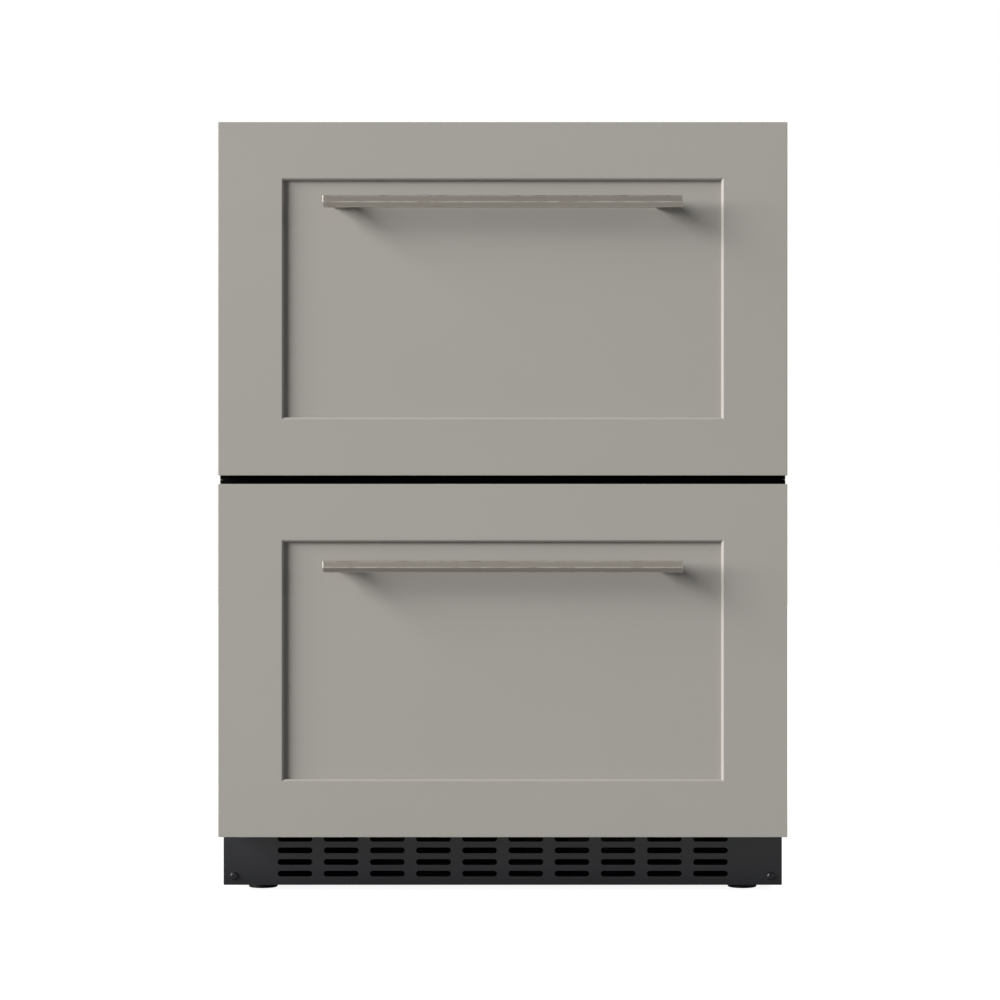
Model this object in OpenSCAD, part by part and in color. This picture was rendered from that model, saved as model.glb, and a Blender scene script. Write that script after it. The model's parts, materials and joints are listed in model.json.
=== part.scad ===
// Undercounter drawer refrigerator: a 24-inch-class cabinet with two full-width drawers.
// Millimetres. +Z up, +X to the right of someone facing the drawers, drawers open towards -Y.
// The origin is the middle of the footprint, on the floor.

/* [Drawer fronts] */
// Width of each drawer front
front_w = 597; // [580:1:610]
// Height of each drawer front
front_h = 370.5; // [360:0.5:390]
// Gap between the upper and the lower front
front_gap = 9; // [4:0.5:12]
// Height of the lower front's bottom edge above the floor
front_bottom = 63; // [61:0.5:75]
// Thickness of the stiles and rails of a front
front_t = 19; // [17:0.5:25]
// Width of the stiles
stile_w = 69; // [50:1:85]
// Width of the rails
rail_w = 61; // [50:1:75]
// Depth of the flat field behind the face of the frame
recess = 6; // [4:0.5:8]
// Thickness of the field panel
field_t = 7; // [5:0.5:9]
// Depth of the rebate that the field panel sits in
rebate = 8; // [5:0.5:12]
// Chamfer along the inner edge of the frame
frame_chamfer = 2; // [1:0.25:3]

/* [Handles] */
// Length of a handle bar
bar_l = 374; // [260:1:420]
// Height of a handle bar
bar_h = 12; // [10:0.5:16]
// Thickness of a handle bar, front to back
bar_d = 10; // [8:0.5:14]
// Height of the bar's lower chamfer
bar_cut_h = 5; // [3:0.5:6]
// Depth of the bar's lower chamfer
bar_cut_d = 4; // [2:0.5:6]
// Distance from the field panel to the face of the bar
handle_reach = 42; // [34:1:48]
// Distance from the upper rail's inner edge down to the middle of the bar
handle_drop = 25; // [20:1:60]
// Width of a handle post
post_w = 20; // [14:1:26]
// Height of a handle post
post_h = 9; // [7:0.5:10]
// Distance from the end of the bar to the outer side of a post
post_inset = 8; // [2:1:40]

/* [Cabinet] */
// Depth of the outer cabinet
cabinet_d = 535; // [520:1:560]
// Distance that each cabinet side stands back from the side of the fronts
side_setback = 1; // [0.5:0.5:4]
// Distance from the fronts' top edge down to the top of the cabinet
top_setback = 5; // [5:0.5:10]
// Thickness of the sheet steel of the cabinet
sheet_t = 1; // [0.8:0.1:1.5]
// Width of the flange around the cabinet's front
front_flange = 25; // [22:1:28]
// Width of the flange around the cabinet's rear
rear_flange = 12; // [10:1:16]
// Thickness of an insulated side wall
side_wall = 40; // [36:1:44]
// Thickness of the insulated top
top_wall = 38; // [32:1:46]
// Height of the insulated floor above the lower front's bottom edge
sill_h = 37; // [34:1:42]
// Thickness of the insulated back
back_wall = 45; // [40:1:55]
// Wall of the moulded inner liner
liner_t = 2; // [1.5:0.25:3]
// Height of the steel bar between the two drawers
mullion_h = 44; // [44:1:50]
// Depth of the steel bar between the two drawers
mullion_d = 30; // [20:1:40]
// Depth of the machine space at the bottom rear
machine_d = 190; // [185:1:200]
// Height of the top of the machine space above the floor
machine_top_z = 270; // [255:1:280]

/* [Base and toe kick] */
// Height of the base pan's underside above the floor, with the legs wound in
base_z = 8; // [7:0.5:12]
// Depth of the toe-kick grille in front of the cabinet
grille_d = 12; // [8:1:16]
// Wall of the toe-kick grille
grille_t = 2; // [1.5:0.25:3]
// Height of the grille's bottom edge above the floor
grille_z = 6.5; // [5:0.5:7]
// Number of columns of slots
slot_columns = 10; // [6:1:11]
// Number of rows of slots
slot_rows = 4; // [3:1:4]
// Length of a slot
slot_l = 37; // [20:1:42]
// Height of a slot
slot_h = 6.2; // [4:0.2:8]
// Distance between the middles of neighbouring slots in a row
slot_pitch = 49.2; // [44:0.2:50]
// Distance between the middles of the rows
row_pitch = 12.4; // [11:0.1:12.8]
// Diameter of a foot
foot_d = 31; // [26:1:36]
// Diameter of the threaded stem of a leg
stem_d = 10; // [8:1:12]
// Distance that a leg winds out
leg_travel = 20; // [10:1:22]
// Distance from the cabinet's side to the middle of a foot
leg_side = 39.5; // [30:0.5:60]
// Distance from the cabinet's front or rear to the middle of a foot
leg_end = 27; // [24:1:60]

/* [Drawers] */
// Distance between a closed door and the cabinet, which the gasket fills
door_gap = 9; // [8.5:0.5:12]
// Thickness of the insulated door behind a front
door_t = 38; // [32:1:45]
// Width of a gasket
gasket_w = 12; // [9:0.5:13]
// Travel of a drawer
travel = 420; // [360:5:430]
// Distance between the rear end of a slide and the liner's back wall
slide_back_gap = 37; // [22:1:47]
// Height of the outer member of a slide
slide_h = 53; // [50:1:56]
// Diameter of a ball in the slides
ball_d = 5; // [4.8:0.1:5.2]
// Height of the upper bin
upper_bin_h = 240; // [200:1:250]
// Height of the lower bin
lower_bin_h = 258; // [254:1:275]
// Wall of a bin
bin_t = 2.5; // [2:0.25:4]
// Radius of a bin's upright corners
bin_r = 18; // [12:1:40]

/* [Worktop brackets] */
// Distance between the two brackets' middles
bracket_span = 480; // [400:1:500]
// Distance between a bracket's two worktop holes, front to back
bracket_hole_gap = 18; // [14:1:20]
// Diameter of a worktop hole
bracket_hole_d = 5; // [4:0.5:6]

/* [Machine and controls] */
// Diameter of the compressor's shell
compressor_d = 150; // [130:1:156]
// Height of the compressor's shell
compressor_h = 165; // [150:1:180]
// Diameter of the condenser fan's rotor
condenser_fan_d = 124; // [100:1:128]
// Diameter of the evaporator fan's rotor
evaporator_fan_d = 100; // [80:1:104]
// Number of blades on a fan
blades = 7; // [5:1:9]
// Travel of a control button
button_travel = 1; // [0.5:0.1:1.5]

/* [Hidden] */
$fn = 48;
eps = 0.5;                  // how far a cutter runs past a face
seat = 0.3;                 // gap of a piece that lies on its seat
fit = 0.08;                 // radial running fit of a shaft or stem
screw_d = 4;
screw_fit = 0.1;            // radial gap of a screw in its hole
screw_head_d = 8.4;
screw_head_h = 2.4;
screw_hole_d = screw_d + 2 * screw_fit;

// front to rear
overall_d = (handle_reach - recess) + front_t + door_t + door_gap + cabinet_d + sheet_t + screw_head_h;
bar_y = -overall_d / 2;
field_y = bar_y + handle_reach;
front_y = field_y - recess;
shell_y = front_y + front_t;
door_back_y = shell_y + door_t;
cabinet_y = door_back_y + door_gap;
rear_y = cabinet_y + cabinet_d;
machine_y = rear_y - machine_d;

// floor to top
box_z = front_bottom + 3;
floor_z = front_bottom + sill_h;
front_top = front_bottom + 2 * front_h + front_gap;
cabinet_top = front_top - top_setback;
gap_z = front_bottom + front_h + front_gap / 2;
mullion_top = gap_z + mullion_h / 2;
ceiling_z = cabinet_top - top_wall;
step_z = machine_top_z + 25;  // top of the liner's step over the machine space

// widths
cabinet_w = front_w - 2 * side_setback;
shell_in_w = cabinet_w - 2 * sheet_t;
liner_w = cabinet_w - 2 * side_wall;
liner_back_y = rear_y - back_wall;
liner_r = 12;                // round corners between the liner's walls, floor and ceiling
step_y = machine_y - 27;    // front of the liner's step

// doors
shell_inset = 0.5;          // shell's side to the front's side
shell_low_inset = 1.5;      // lower shell's bottom edge to the lower front's
shell_lap = front_gap / 4;  // how far a shell stands past its front, into the gap between the fronts
shell_t = 1;
shell_w = front_w - 2 * shell_inset;
gasket_inset = 4;
plateau = 6;                // how far the inner door panel stands into the gasket's ring

// slides, as distances u inwards from the liner's wall and v up from the slide's middle
slide_w = 19;
member_t = 1.5;
cage_t = 0.8;
member_gap = 0.5;
race_gap = 0.1;             // ball to race
race_r = ball_d / 2 + race_gap;
race_wall = 1.3;
race_open = 1.4;            // ball centre to the face of a race
race_core = 1.2;
ball_u = 9;
race_tip_u = 12;
cage_u = member_t + member_gap;
mid_u = cage_u + cage_t + member_gap;
inner_cage_u = mid_u + member_t + member_gap;
inner_u = inner_cage_u + cage_t + member_gap;
ball_v = slide_h / 2 - race_wall - race_r;
inner_ball_v = ball_v - 2 * race_r - race_core;
inner_top_v = inner_ball_v - race_open;
slide_y = cabinet_y + 3;
slide_l = liner_back_y - slide_back_gap - slide_y;
cage_l = slide_l / 2;
cage_start = travel / 4 + 3;
cage_balls = 5;
ball_pitch = cage_l / 4.5;
stop_l = 2.5;               // tab at a member's front end that stops a ball cage
stop_h = 12;
stop_gap = 0.4;             // tip of a tab to the next member
slide_screw_inset = 40;     // end of an outer member to its nearest screw
arm_rise = slide_h / 2 + 7.5;

// bins
bin_lift = 6;
rim_t = 2.5;
rim_w = 9;
rim_lip = 5.5;
rib_h = 1.2;                // ribs on a bin's floor
arm_x = liner_w / 2 - slide_w;
arm_fit = 0.6;              // gap between an arm and its notch in the rim's lip
bin_w = liner_w - 2 * (slide_w + bin_t);
bin_y = cabinet_y + 12;
bin_back_gap = 8 + rim_w;
duct_d = 62;                // depth of the evaporator's duct
duct_y = liner_back_y - duct_d;
duct_w = liner_w - 2 * 32;
duct_t = 2;

function front_z(level) = front_bottom + level * (front_h + front_gap);
function bar_z(level) = front_z(level) + front_h - rail_w - handle_drop;
function shell_top(level) = level == 1 ? cabinet_top - 3 : front_z(level) + front_h + shell_lap;
function shell_bottom(level) = front_z(level) + (level == 1 ? -shell_lap : shell_low_inset);
function bin_z(level) = (level == 1 ? mullion_top : floor_z) + bin_lift;
function bin_h(level) = level == 1 ? upper_bin_h : lower_bin_h;
function bin_back(level) = (level == 1 ? duct_y : step_y) - bin_back_gap;
function slide_z(level) = bin_z(level) + bin_h(level) - rim_t - arm_rise;

// colours
greige = "#9d9991";
warm_nickel = "#88827a";
black_steel = "#26272b";
white_plastic = "#e9ebec";
zinc = "#b4b8bb";
copper = "#b5713f";

// ---- shared shapes ----

// A block between two opposite corners
module block(low, high) {
    translate(low) cube(high - low);
}

// The children and their mirror image across the middle plane
module both_sides() {
    children();
    mirror([1, 0, 0]) children();
}

// A flat outline in (Y, Z), made into a bar that is centred on X
module along_x(length) {
    translate([-length / 2, 0, 0]) rotate([90, 0, 90]) linear_extrude(length) children();
}

// A flat outline in (X, Z), made into a bar from y0 to y1
module along_y(y0, y1) {
    translate([0, y1, 0]) rotate([90, 0, 0]) linear_extrude(y1 - y0) children();
}

// A rectangle with round corners, centred
module rounded_rect(w, h, r) {
    square([w - 2 * r, h], center = true);
    square([w, h - 2 * r], center = true);
    for (x = [-1, 1], y = [-1, 1]) {
        translate([x * (w / 2 - r), y * (h / 2 - r)]) circle(r);
    }
}

// A slot with round ends, centred
module stadium(w, h) {
    square([w - h, h], center = true);
    for (x = [-1, 1]) {
        translate([x * (w - h) / 2, 0]) circle(h / 2);
    }
}

// A pan-head screw: its head stands on z = 0, and its shank runs down from there
module pan_screw(length) {
    head_r = screw_head_d / 2;
    difference() {
        union() {
            rotate_extrude() polygon([
                [0, 0], [head_r, 0], [head_r, screw_head_h - 1.2], [head_r - 0.4, screw_head_h - 0.5],
                [head_r - 1.3, screw_head_h], [0, screw_head_h]
            ]);
            translate([0, 0, -length]) cylinder(h = length + 0.2, d = screw_d);
        }
        translate([0, 0, screw_head_h - 1.2]) cylinder(h = 2, d = 2.9, $fn = 6);
    }
}

// A countersunk screw, grown by g all round: its flat top lies on z = 0, and it runs down from there
module flat_screw(length, g = 0) {
    r = screw_d / 2 + g;
    translate([0, 0, -length]) cylinder(h = length, r = r);
    translate([0, 0, -member_t]) cylinder(h = member_t + g, r1 = r, r2 = r + member_t + g);
}

// ---- drawer fronts and handles ----

field_w = front_w - 2 * stile_w;
field_h = front_h - 2 * rail_w;
post_x = bar_l / 2 - post_inset - post_w / 2;

// A wedge over the side of a w by h opening, mitred at both ends, that cuts the chamfer there
module chamfer_side(w, h) {
    c = frame_chamfer;
    run = c + eps;
    intersection() {
        along_x(w + 2 * run) polygon([
            [front_y - eps, h / 2 - eps], [front_y - eps, h / 2 + run], [front_y + c, h / 2],
            [front_y + c, h / 2 - eps]
        ]);
        along_y(front_y - 2 * eps, shell_y) polygon([
            [-w / 2 - run, h / 2 + run], [w / 2 + run, h / 2 + run], [w / 2 - eps, h / 2 - eps],
            [eps - w / 2, h / 2 - eps]
        ]);
    }
}

// Stiles and rails with a chamfered opening and a rebate behind it for the field panel
module front_frame(level) {
    color(greige) translate([0, 0, front_z(level) + front_h / 2]) difference() {
        along_y(front_y, shell_y) square([front_w, front_h], center = true);
        along_y(front_y - eps, shell_y + eps) square([field_w, field_h], center = true);
        along_y(field_y, shell_y + eps)
            square([field_w + 2 * rebate, field_h + 2 * rebate], center = true);
        for (turn = [0, 180]) {
            rotate([0, turn, 0]) chamfer_side(field_w, field_h);
            rotate([0, turn + 90, 0]) chamfer_side(field_h, field_w);
        }
    }
}

// The flat panel, held in the rebate, with the holes for the handle's screws
module front_field(level) {
    side_fit = 0.5;
    color(greige) difference() {
        translate([0, 0, front_z(level) + front_h / 2]) along_y(field_y, field_y + field_t)
            square([field_w + 2 * (rebate - side_fit), field_h + 2 * (rebate - side_fit)], center = true);
        both_sides() translate([post_x, field_y - eps, bar_z(level)]) rotate([-90, 0, 0])
            cylinder(h = field_t + 2 * eps, d = screw_hole_d);
    }
}

// A straight bar: a small bevel on top, a flat face and a long lower chamfer
module handle_bar(level) {
    bevel = 0.8;
    translate([0, bar_y, bar_z(level)]) color(warm_nickel) along_x(bar_l) polygon([
        [bevel, bar_h / 2],
        [0, bar_h / 2 - bevel],
        [0, bar_cut_h - bar_h / 2],
        [bar_cut_d, -bar_h / 2],
        [bar_d, -bar_h / 2],
        [bar_d, bar_h / 2]
    ]);
}

thread_l = 13;              // how far a handle screw reaches into its post

module handle_posts(level) {
    color(warm_nickel) both_sides() translate([post_x, 0, bar_z(level)]) difference() {
        along_y(bar_y + bar_d, field_y) stadium(post_w, post_h);
        translate([0, field_y + eps, 0]) rotate([90, 0, 0])
            cylinder(h = thread_l + 1 + eps, d = screw_hole_d);
    }
}

module handle_screws(level) {
    color(zinc) both_sides() translate([post_x, field_y + field_t, bar_z(level)]) rotate([-90, 0, 0])
        pan_screw(field_t + thread_l);
}

// ---- insulated doors behind the fronts ----

// A steel pan, open to the rear
module door_shell(level) {
    low = shell_bottom(level);
    high = shell_top(level);
    color(black_steel) difference() {
        block([-shell_w / 2, shell_y, low], [shell_w / 2, door_back_y, high]);
        block([-shell_w / 2 + shell_t, shell_y + shell_t, low + shell_t],
              [shell_w / 2 - shell_t, door_back_y + eps, high - shell_t]);
    }
}

// The moulded inner panel with its foam core, and a plateau that stands inside the gasket
module door_liner(level) {
    low = shell_bottom(level);
    high = shell_top(level);
    mid_z = (low + high) / 2;
    edge = gasket_inset + gasket_w + 2;
    color(white_plastic) {
        block([-shell_w / 2 + shell_t, shell_y + shell_t, low + shell_t],
              [shell_w / 2 - shell_t, door_back_y, high - shell_t]);
        translate([0, 0, mid_z]) along_y(door_back_y - eps, door_back_y + plateau)
            rounded_rect(shell_w - 2 * edge, high - low - 2 * edge, 14);
    }
}

module gasket_ring(w, h, side, y0, y1) {
    along_y(y0, y1) difference() {
        rounded_rect(w - 2 * side, h - 2 * side, 12 - side);
        rounded_rect(w - 2 * gasket_w + 2 * side, h - 2 * gasket_w + 2 * side, 5 + side);
    }
}

// A magnetic gasket: a wide foot, a narrow bellows and the magnet's head
module gasket(level) {
    low = shell_bottom(level) + gasket_inset;
    high = shell_top(level) - gasket_inset;
    w = shell_w - 2 * gasket_inset;
    h = high - low;
    y1 = cabinet_y - seat;
    foot = 2.4;
    head = 3.2;
    color("#3c3d40") translate([0, 0, (low + high) / 2]) {
        gasket_ring(w, h, 0, door_back_y, door_back_y + foot);
        gasket_ring(w, h, 2, door_back_y + foot - 0.1, y1 - head + 0.1);
        gasket_ring(w, h, 0.5, y1 - head, y1);
    }
}

// ---- bins ----

// An open bin with round upright corners, ribs on its floor and a rim that hooks over the slides' arms
module bin(level) {
    z0 = bin_z(level);
    h = bin_h(level);
    depth = bin_back(level) - bin_y;
    rim_r = bin_r + rim_w;
    rib_w = 7;
    color(white_plastic) translate([0, bin_y + depth / 2, z0]) {
        difference() {
            union() {
                linear_extrude(h) rounded_rect(bin_w, depth, bin_r);
                translate([0, 0, h - rim_t - rim_lip]) linear_extrude(rim_t + rim_lip)
                    rounded_rect(bin_w + 2 * rim_w, depth + 2 * rim_w, rim_r);
            }
            // the space for food
            translate([0, 0, bin_t]) linear_extrude(h)
                rounded_rect(bin_w - 2 * bin_t, depth - 2 * bin_t, bin_r - bin_t);
            // the channel under the rim, and the notches in its lip that the slides' arms pass through
            translate([0, 0, h - rim_t - rim_lip - eps]) linear_extrude(rim_lip + eps) {
                difference() {
                    rounded_rect(bin_w + 2 * (rim_w - bin_t), depth + 2 * (rim_w - bin_t), rim_r - bin_t);
                    rounded_rect(bin_w, depth, bin_r);
                }
                both_sides() translate([arm_x - arm_fit, -depth])
                    square([member_t + 2 * arm_fit, 2 * depth]);
            }
        }
        for (i = [-2 : 2]) {
            translate([i * bin_w / 6, 0, bin_t - eps]) linear_extrude(rib_h + eps) rotate(90)
                stadium(depth - 4 * bin_r, rib_w);
        }
    }
}

// ---- ball-bearing slides, three members each ----

// The flat outline of a slide's member in (u, v), put on both walls from y0 to y1
module slide_bar(level, y0, y1) {
    both_sides() translate([liner_w / 2, 0, slide_z(level)]) mirror([1, 0, 0]) along_y(y0, y1) children();
}

// A rectangle between two corners, and its mirror image below
module pair_rect(u0, v0, u1, v1) {
    for (s = [-1, 1]) {
        translate([u0, s * (v0 + v1) / 2 - (v1 - v0) / 2]) square([u1 - u0, v1 - v0]);
    }
}

module races(v) {
    for (s = [-1, 1]) {
        translate([ball_u, s * v]) circle(race_r);
    }
}

module outer_section() {
    difference() {
        union() {
            translate([0, -slide_h / 2]) square([member_t, slide_h]);
            pair_rect(0, ball_v + race_open, race_tip_u, slide_h / 2);
        }
        races(ball_v);
    }
}

module mid_section() {
    top = ball_v - race_open;
    difference() {
        union() {
            translate([mid_u, -top]) square([member_t, 2 * top]);
            pair_rect(mid_u, inner_ball_v + race_open, race_tip_u, top);
        }
        races(ball_v);
        races(inner_ball_v);
    }
}

module inner_section() {
    difference() {
        pair_rect(inner_u, inner_ball_v - race_r - race_wall, slide_w - member_t / 2, inner_top_v);
        races(inner_ball_v);
    }
    translate([slide_w - member_t, -inner_top_v]) square([member_t, 2 * inner_top_v]);
}

// A tab at the front end of a member's web, from u0 to u1, that stops the ball cage behind it
module cage_stop(level, u0, u1) {
    slide_bar(level, slide_y, slide_y + stop_l) translate([u0, -stop_h / 2]) square([u1 - u0, stop_h]);
}

// The outer members, each held on the liner's wall by three countersunk screws
module outer_rails() {
    color(zinc) difference() {
        for (level = [0, 1]) {
            slide_bar(level, slide_y, slide_y + slide_l) outer_section();
            cage_stop(level, member_t - 0.5, mid_u - stop_gap);
        }
        slide_screw_places() flat_screw(member_t + eps, screw_fit);
    }
}

module mid_rails(level) {
    color(zinc) {
        slide_bar(level, slide_y, slide_y + slide_l) mid_section();
        cage_stop(level, mid_u + member_t - 0.5, inner_u - stop_gap);
    }
}

// The inner members, each with a tall arm for the bin's rim and a tab on the door
module inner_rails(level) {
    tab_y = door_back_y + plateau;
    tab_w = 24;
    color(zinc) {
        slide_bar(level, slide_y, slide_y + slide_l) inner_section();
        slide_bar(level, tab_y, slide_y + slide_l)
            translate([slide_w - member_t, -inner_top_v]) square([member_t, inner_top_v + arm_rise]);
        slide_bar(level, tab_y, tab_y + member_t)
            translate([slide_w - member_t, -inner_top_v]) square([tab_w, inner_top_v + arm_rise]);
    }
}

// A strip that carries two rows of balls between neighbouring members
module ball_cage(level, u, v) {
    y0 = slide_y + cage_start;
    color("#8d9195") {
        slide_bar(level, y0, y0 + cage_l) {
            translate([u, -v - cage_t / 2]) square([cage_t, 2 * v + cage_t]);
            pair_rect(u, v - cage_t / 2, race_tip_u, v + cage_t / 2);
        }
        both_sides() for (i = [0 : cage_balls - 1], s = [-1, 1]) {
            translate([liner_w / 2 - ball_u, y0 + cage_l / 2 + (i - (cage_balls - 1) / 2) * ball_pitch,
                       slide_z(level) + s * v])
                sphere(d = ball_d);
        }
    }
}

module outer_cages(level) {
    ball_cage(level, cage_u, ball_v);
}

module inner_cages(level) {
    ball_cage(level, inner_cage_u, inner_ball_v);
}

// ---- cabinet ----

toe_screw_x = cabinet_w / 2 - 11.5;
toe_screw_z = grille_z + 9.5;
bracket_screw_gap = 24;
slide_screw_l = 18;
bracket_screw_y = cabinet_y + 20;
rear_screw_x = cabinet_w / 2 - rear_flange / 2;
rear_screw_z = [base_z + 22, (base_z + machine_top_z) / 2, machine_top_z - 20];

module toe_screw_places() {
    both_sides() translate([toe_screw_x, cabinet_y - grille_d, toe_screw_z]) rotate([90, 0, 0]) children();
}

module bracket_screw_places() {
    both_sides() for (s = [-1, 1]) {
        translate([bracket_span / 2 + s * bracket_screw_gap / 2, bracket_screw_y, cabinet_top + bracket_t])
            children();
    }
}

module rear_screw_places() {
    both_sides() for (z = rear_screw_z) {
        translate([rear_screw_x, rear_y + sheet_t, z]) rotate([-90, 0, 0]) children();
    }
}

module slide_screw_places() {
    middle = slide_y + slide_l / 2;
    both_sides() for (level = [0, 1], step = [-1, 0, 1]) {
        translate([liner_w / 2 - member_t, middle + step * (slide_l / 2 - slide_screw_inset), slide_z(level)])
            rotate([0, -90, 0]) children();
    }
}

module cabinet_screws() {
    color(black_steel) {
        toe_screw_places() pan_screw(grille_d + 5);
        bracket_screw_places() pan_screw(8);
        rear_screw_places() pan_screw(8);
        slide_screw_places() difference() {
            flat_screw(slide_screw_l);
            translate([0, 0, -1.2]) cylinder(h = 2, d = 2.9, $fn = 6);
        }
    }
}

// One sheet folded over the top and sides, with flanges round the front and the rear
module outer_wrapper() {
    half = cabinet_w / 2;
    color(black_steel) difference() {
        block([-half, cabinet_y, base_z], [half, rear_y, cabinet_top]);
        block([-shell_in_w / 2, cabinet_y + sheet_t, base_z - eps],
              [shell_in_w / 2, rear_y - sheet_t, cabinet_top - sheet_t]);
        block([-half + front_flange, cabinet_y - eps, base_z - eps],
              [half - front_flange, cabinet_y + sheet_t + eps, cabinet_top - front_flange]);
        block([-half + rear_flange, rear_y - sheet_t - eps, base_z - eps],
              [half - rear_flange, rear_y + eps, cabinet_top - rear_flange]);
        toe_screw_places() translate([0, 0, -grille_d - 5]) cylinder(h = grille_d, d = screw_hole_d);
        bracket_screw_places() translate([0, 0, -8]) cylinder(h = 8, d = screw_hole_d);
        rear_screw_places() translate([0, 0, -8]) cylinder(h = 8, d = screw_hole_d);
    }
}

// A sheet with three stiffening beads pressed outwards
module rear_panel() {
    edge = 2;
    bead_l = cabinet_w - 150;
    bead_h = 18;
    bead_d = 1.6;
    beads = [-130, 0, 130];
    color("#9aa0a3") translate([0, 0, (machine_top_z + cabinet_top) / 2 + edge]) difference() {
        union() {
            along_y(rear_y, rear_y + sheet_t)
                rounded_rect(cabinet_w - 2 * edge, cabinet_top - machine_top_z - 4 * edge, 4);
            for (z = beads) {
                translate([0, 0, z]) along_y(rear_y, rear_y + sheet_t + bead_d) stadium(bead_l, bead_h);
            }
        }
        for (z = beads) {
            translate([0, 0, z]) along_y(rear_y - eps, rear_y + bead_d)
                stadium(bead_l - 2 * sheet_t, bead_h - 2 * sheet_t);
        }
    }
}

// The side view of the liner's space, grown by g on its closed sides
function liner_profile(g) = [
    [cabinet_y, floor_z - g],
    [step_y + g, floor_z - g],
    [step_y + g, step_z - g],
    [liner_back_y + g, step_z - g],
    [liner_back_y + g, ceiling_z + g],
    [cabinet_y, ceiling_z + g]
];

// The same side view with its mouth pushed past the cabinet's front, for a cutter
function open_mouth(points) = [
    for (p = points) [p[0] == cabinet_y ? cabinet_y - eps : p[0], p[1]]
];

// A bar of that side view, grown by g, with round corners along its four long edges
module liner_bar(points, g) {
    intersection() {
        along_x(liner_w + 2 * g + 2) polygon(points);
        translate([0, 0, (floor_z + ceiling_z) / 2]) along_y(cabinet_y - 1, rear_y)
            rounded_rect(liner_w + 2 * g, ceiling_z - floor_z + 2 * g, liner_r + g);
    }
}

// The steel sheet that closes the foam from below and forms the roof of the machine space
module stepped_floor() {
    y0 = cabinet_y + sheet_t;
    y1 = rear_y - sheet_t;
    color("#9aa0a3") along_x(shell_in_w) polygon([
        [y0, box_z],
        [machine_y + sheet_t, box_z],
        [machine_y + sheet_t, machine_top_z],
        [y1, machine_top_z],
        [y1, machine_top_z + sheet_t],
        [machine_y, machine_top_z + sheet_t],
        [machine_y, box_z + sheet_t],
        [y0, box_z + sheet_t]
    ]);
}

module foam_insulation() {
    y0 = cabinet_y + sheet_t;
    y1 = rear_y - sheet_t;
    low = box_z + sheet_t;
    step = machine_top_z + sheet_t;
    color("#e8dfb8") difference() {
        along_x(shell_in_w) polygon([
            [y0, low], [machine_y, low], [machine_y, step], [y1, step],
            [y1, cabinet_top - sheet_t], [y0, cabinet_top - sheet_t]
        ]);
        liner_bar(open_mouth(liner_profile(liner_t)), liner_t);
        bracket_screw_places() translate([0, 0, -9]) cylinder(h = 9, d = screw_d + 1);
        slide_screw_places() translate([0, 0, -slide_screw_l - eps])
            cylinder(h = slide_screw_l, d = screw_d + 1);
    }
}

// A moulded liner, stepped over the machine space, with a flange round its mouth
module inner_liner() {
    color(white_plastic) difference() {
        union() {
            liner_bar(liner_profile(liner_t), liner_t);
            block([front_flange - cabinet_w / 2, cabinet_y, box_z],
                  [cabinet_w / 2 - front_flange, cabinet_y + sheet_t, cabinet_top - front_flange]);
        }
        liner_bar(open_mouth(liner_profile(0)), 0);
        slide_screw_places() translate([0, 0, -member_t - liner_t - eps])
            cylinder(h = liner_t + 2 * eps, d = screw_hole_d);
    }
}

// A channel across the mouth, which both gaskets close on
module mullion() {
    t = 1.2;
    lip = 8;
    low = mullion_top - mullion_h;
    y1 = cabinet_y + mullion_d;
    color(black_steel) along_x(liner_w) polygon([
        [cabinet_y, low], [y1, low], [y1, low + lip], [y1 - t, low + lip], [y1 - t, low + t],
        [cabinet_y + t, low + t], [cabinet_y + t, mullion_top - t], [y1 - t, mullion_top - t],
        [y1 - t, mullion_top - lip], [y1, mullion_top - lip], [y1, mullion_top], [cabinet_y, mullion_top]
    ]);
}

// ---- base ----

pan_t = 1.2;
socket_h = leg_travel + 4;
stem_l = leg_travel + 6;
leg_x = cabinet_w / 2 - leg_side;

// A tray with upturned sides and four threaded sockets for the legs
module base_pan() {
    lip = 16;
    color(black_steel) difference() {
        union() {
            difference() {
                block([-shell_in_w / 2, cabinet_y + sheet_t, base_z],
                      [shell_in_w / 2, rear_y - sheet_t, base_z + lip]);
                block([pan_t - shell_in_w / 2, cabinet_y, base_z + pan_t],
                      [shell_in_w / 2 - pan_t, rear_y, base_z + lip + eps]);
            }
            leg_places() translate([0, 0, base_z]) cylinder(h = socket_h, d = stem_d + 8);
        }
        leg_places() translate([0, 0, base_z - eps]) cylinder(h = socket_h + 2 * eps, d = stem_d + 2 * fit);
    }
}

module leg_places() {
    for (x = [-1, 1], y = [cabinet_y + leg_end, rear_y - leg_end]) {
        translate([x * leg_x, y, 0]) children();
    }
}

// A levelling leg: a round foot with a bevelled edge and notches to turn it by, on a stem
module leg(x_side, y) {
    foot_h = base_z - seat;
    bevel = 1.5;
    notches = 12;
    color("#1d1e20") translate([x_side * leg_x, y, 0]) {
        difference() {
            rotate_extrude() polygon([
                [0, 0], [foot_d / 2 - bevel, 0], [foot_d / 2, bevel], [foot_d / 2, foot_h - bevel],
                [foot_d / 2 - bevel, foot_h], [0, foot_h]
            ]);
            for (i = [0 : notches - 1]) {
                rotate((i + 0.5) * 360 / notches) translate([foot_d / 2 + 0.6, 0, 2])
                    cylinder(h = foot_h, d = 3);
            }
        }
        cylinder(h = foot_h + stem_l, d = stem_d);
    }
}

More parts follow.
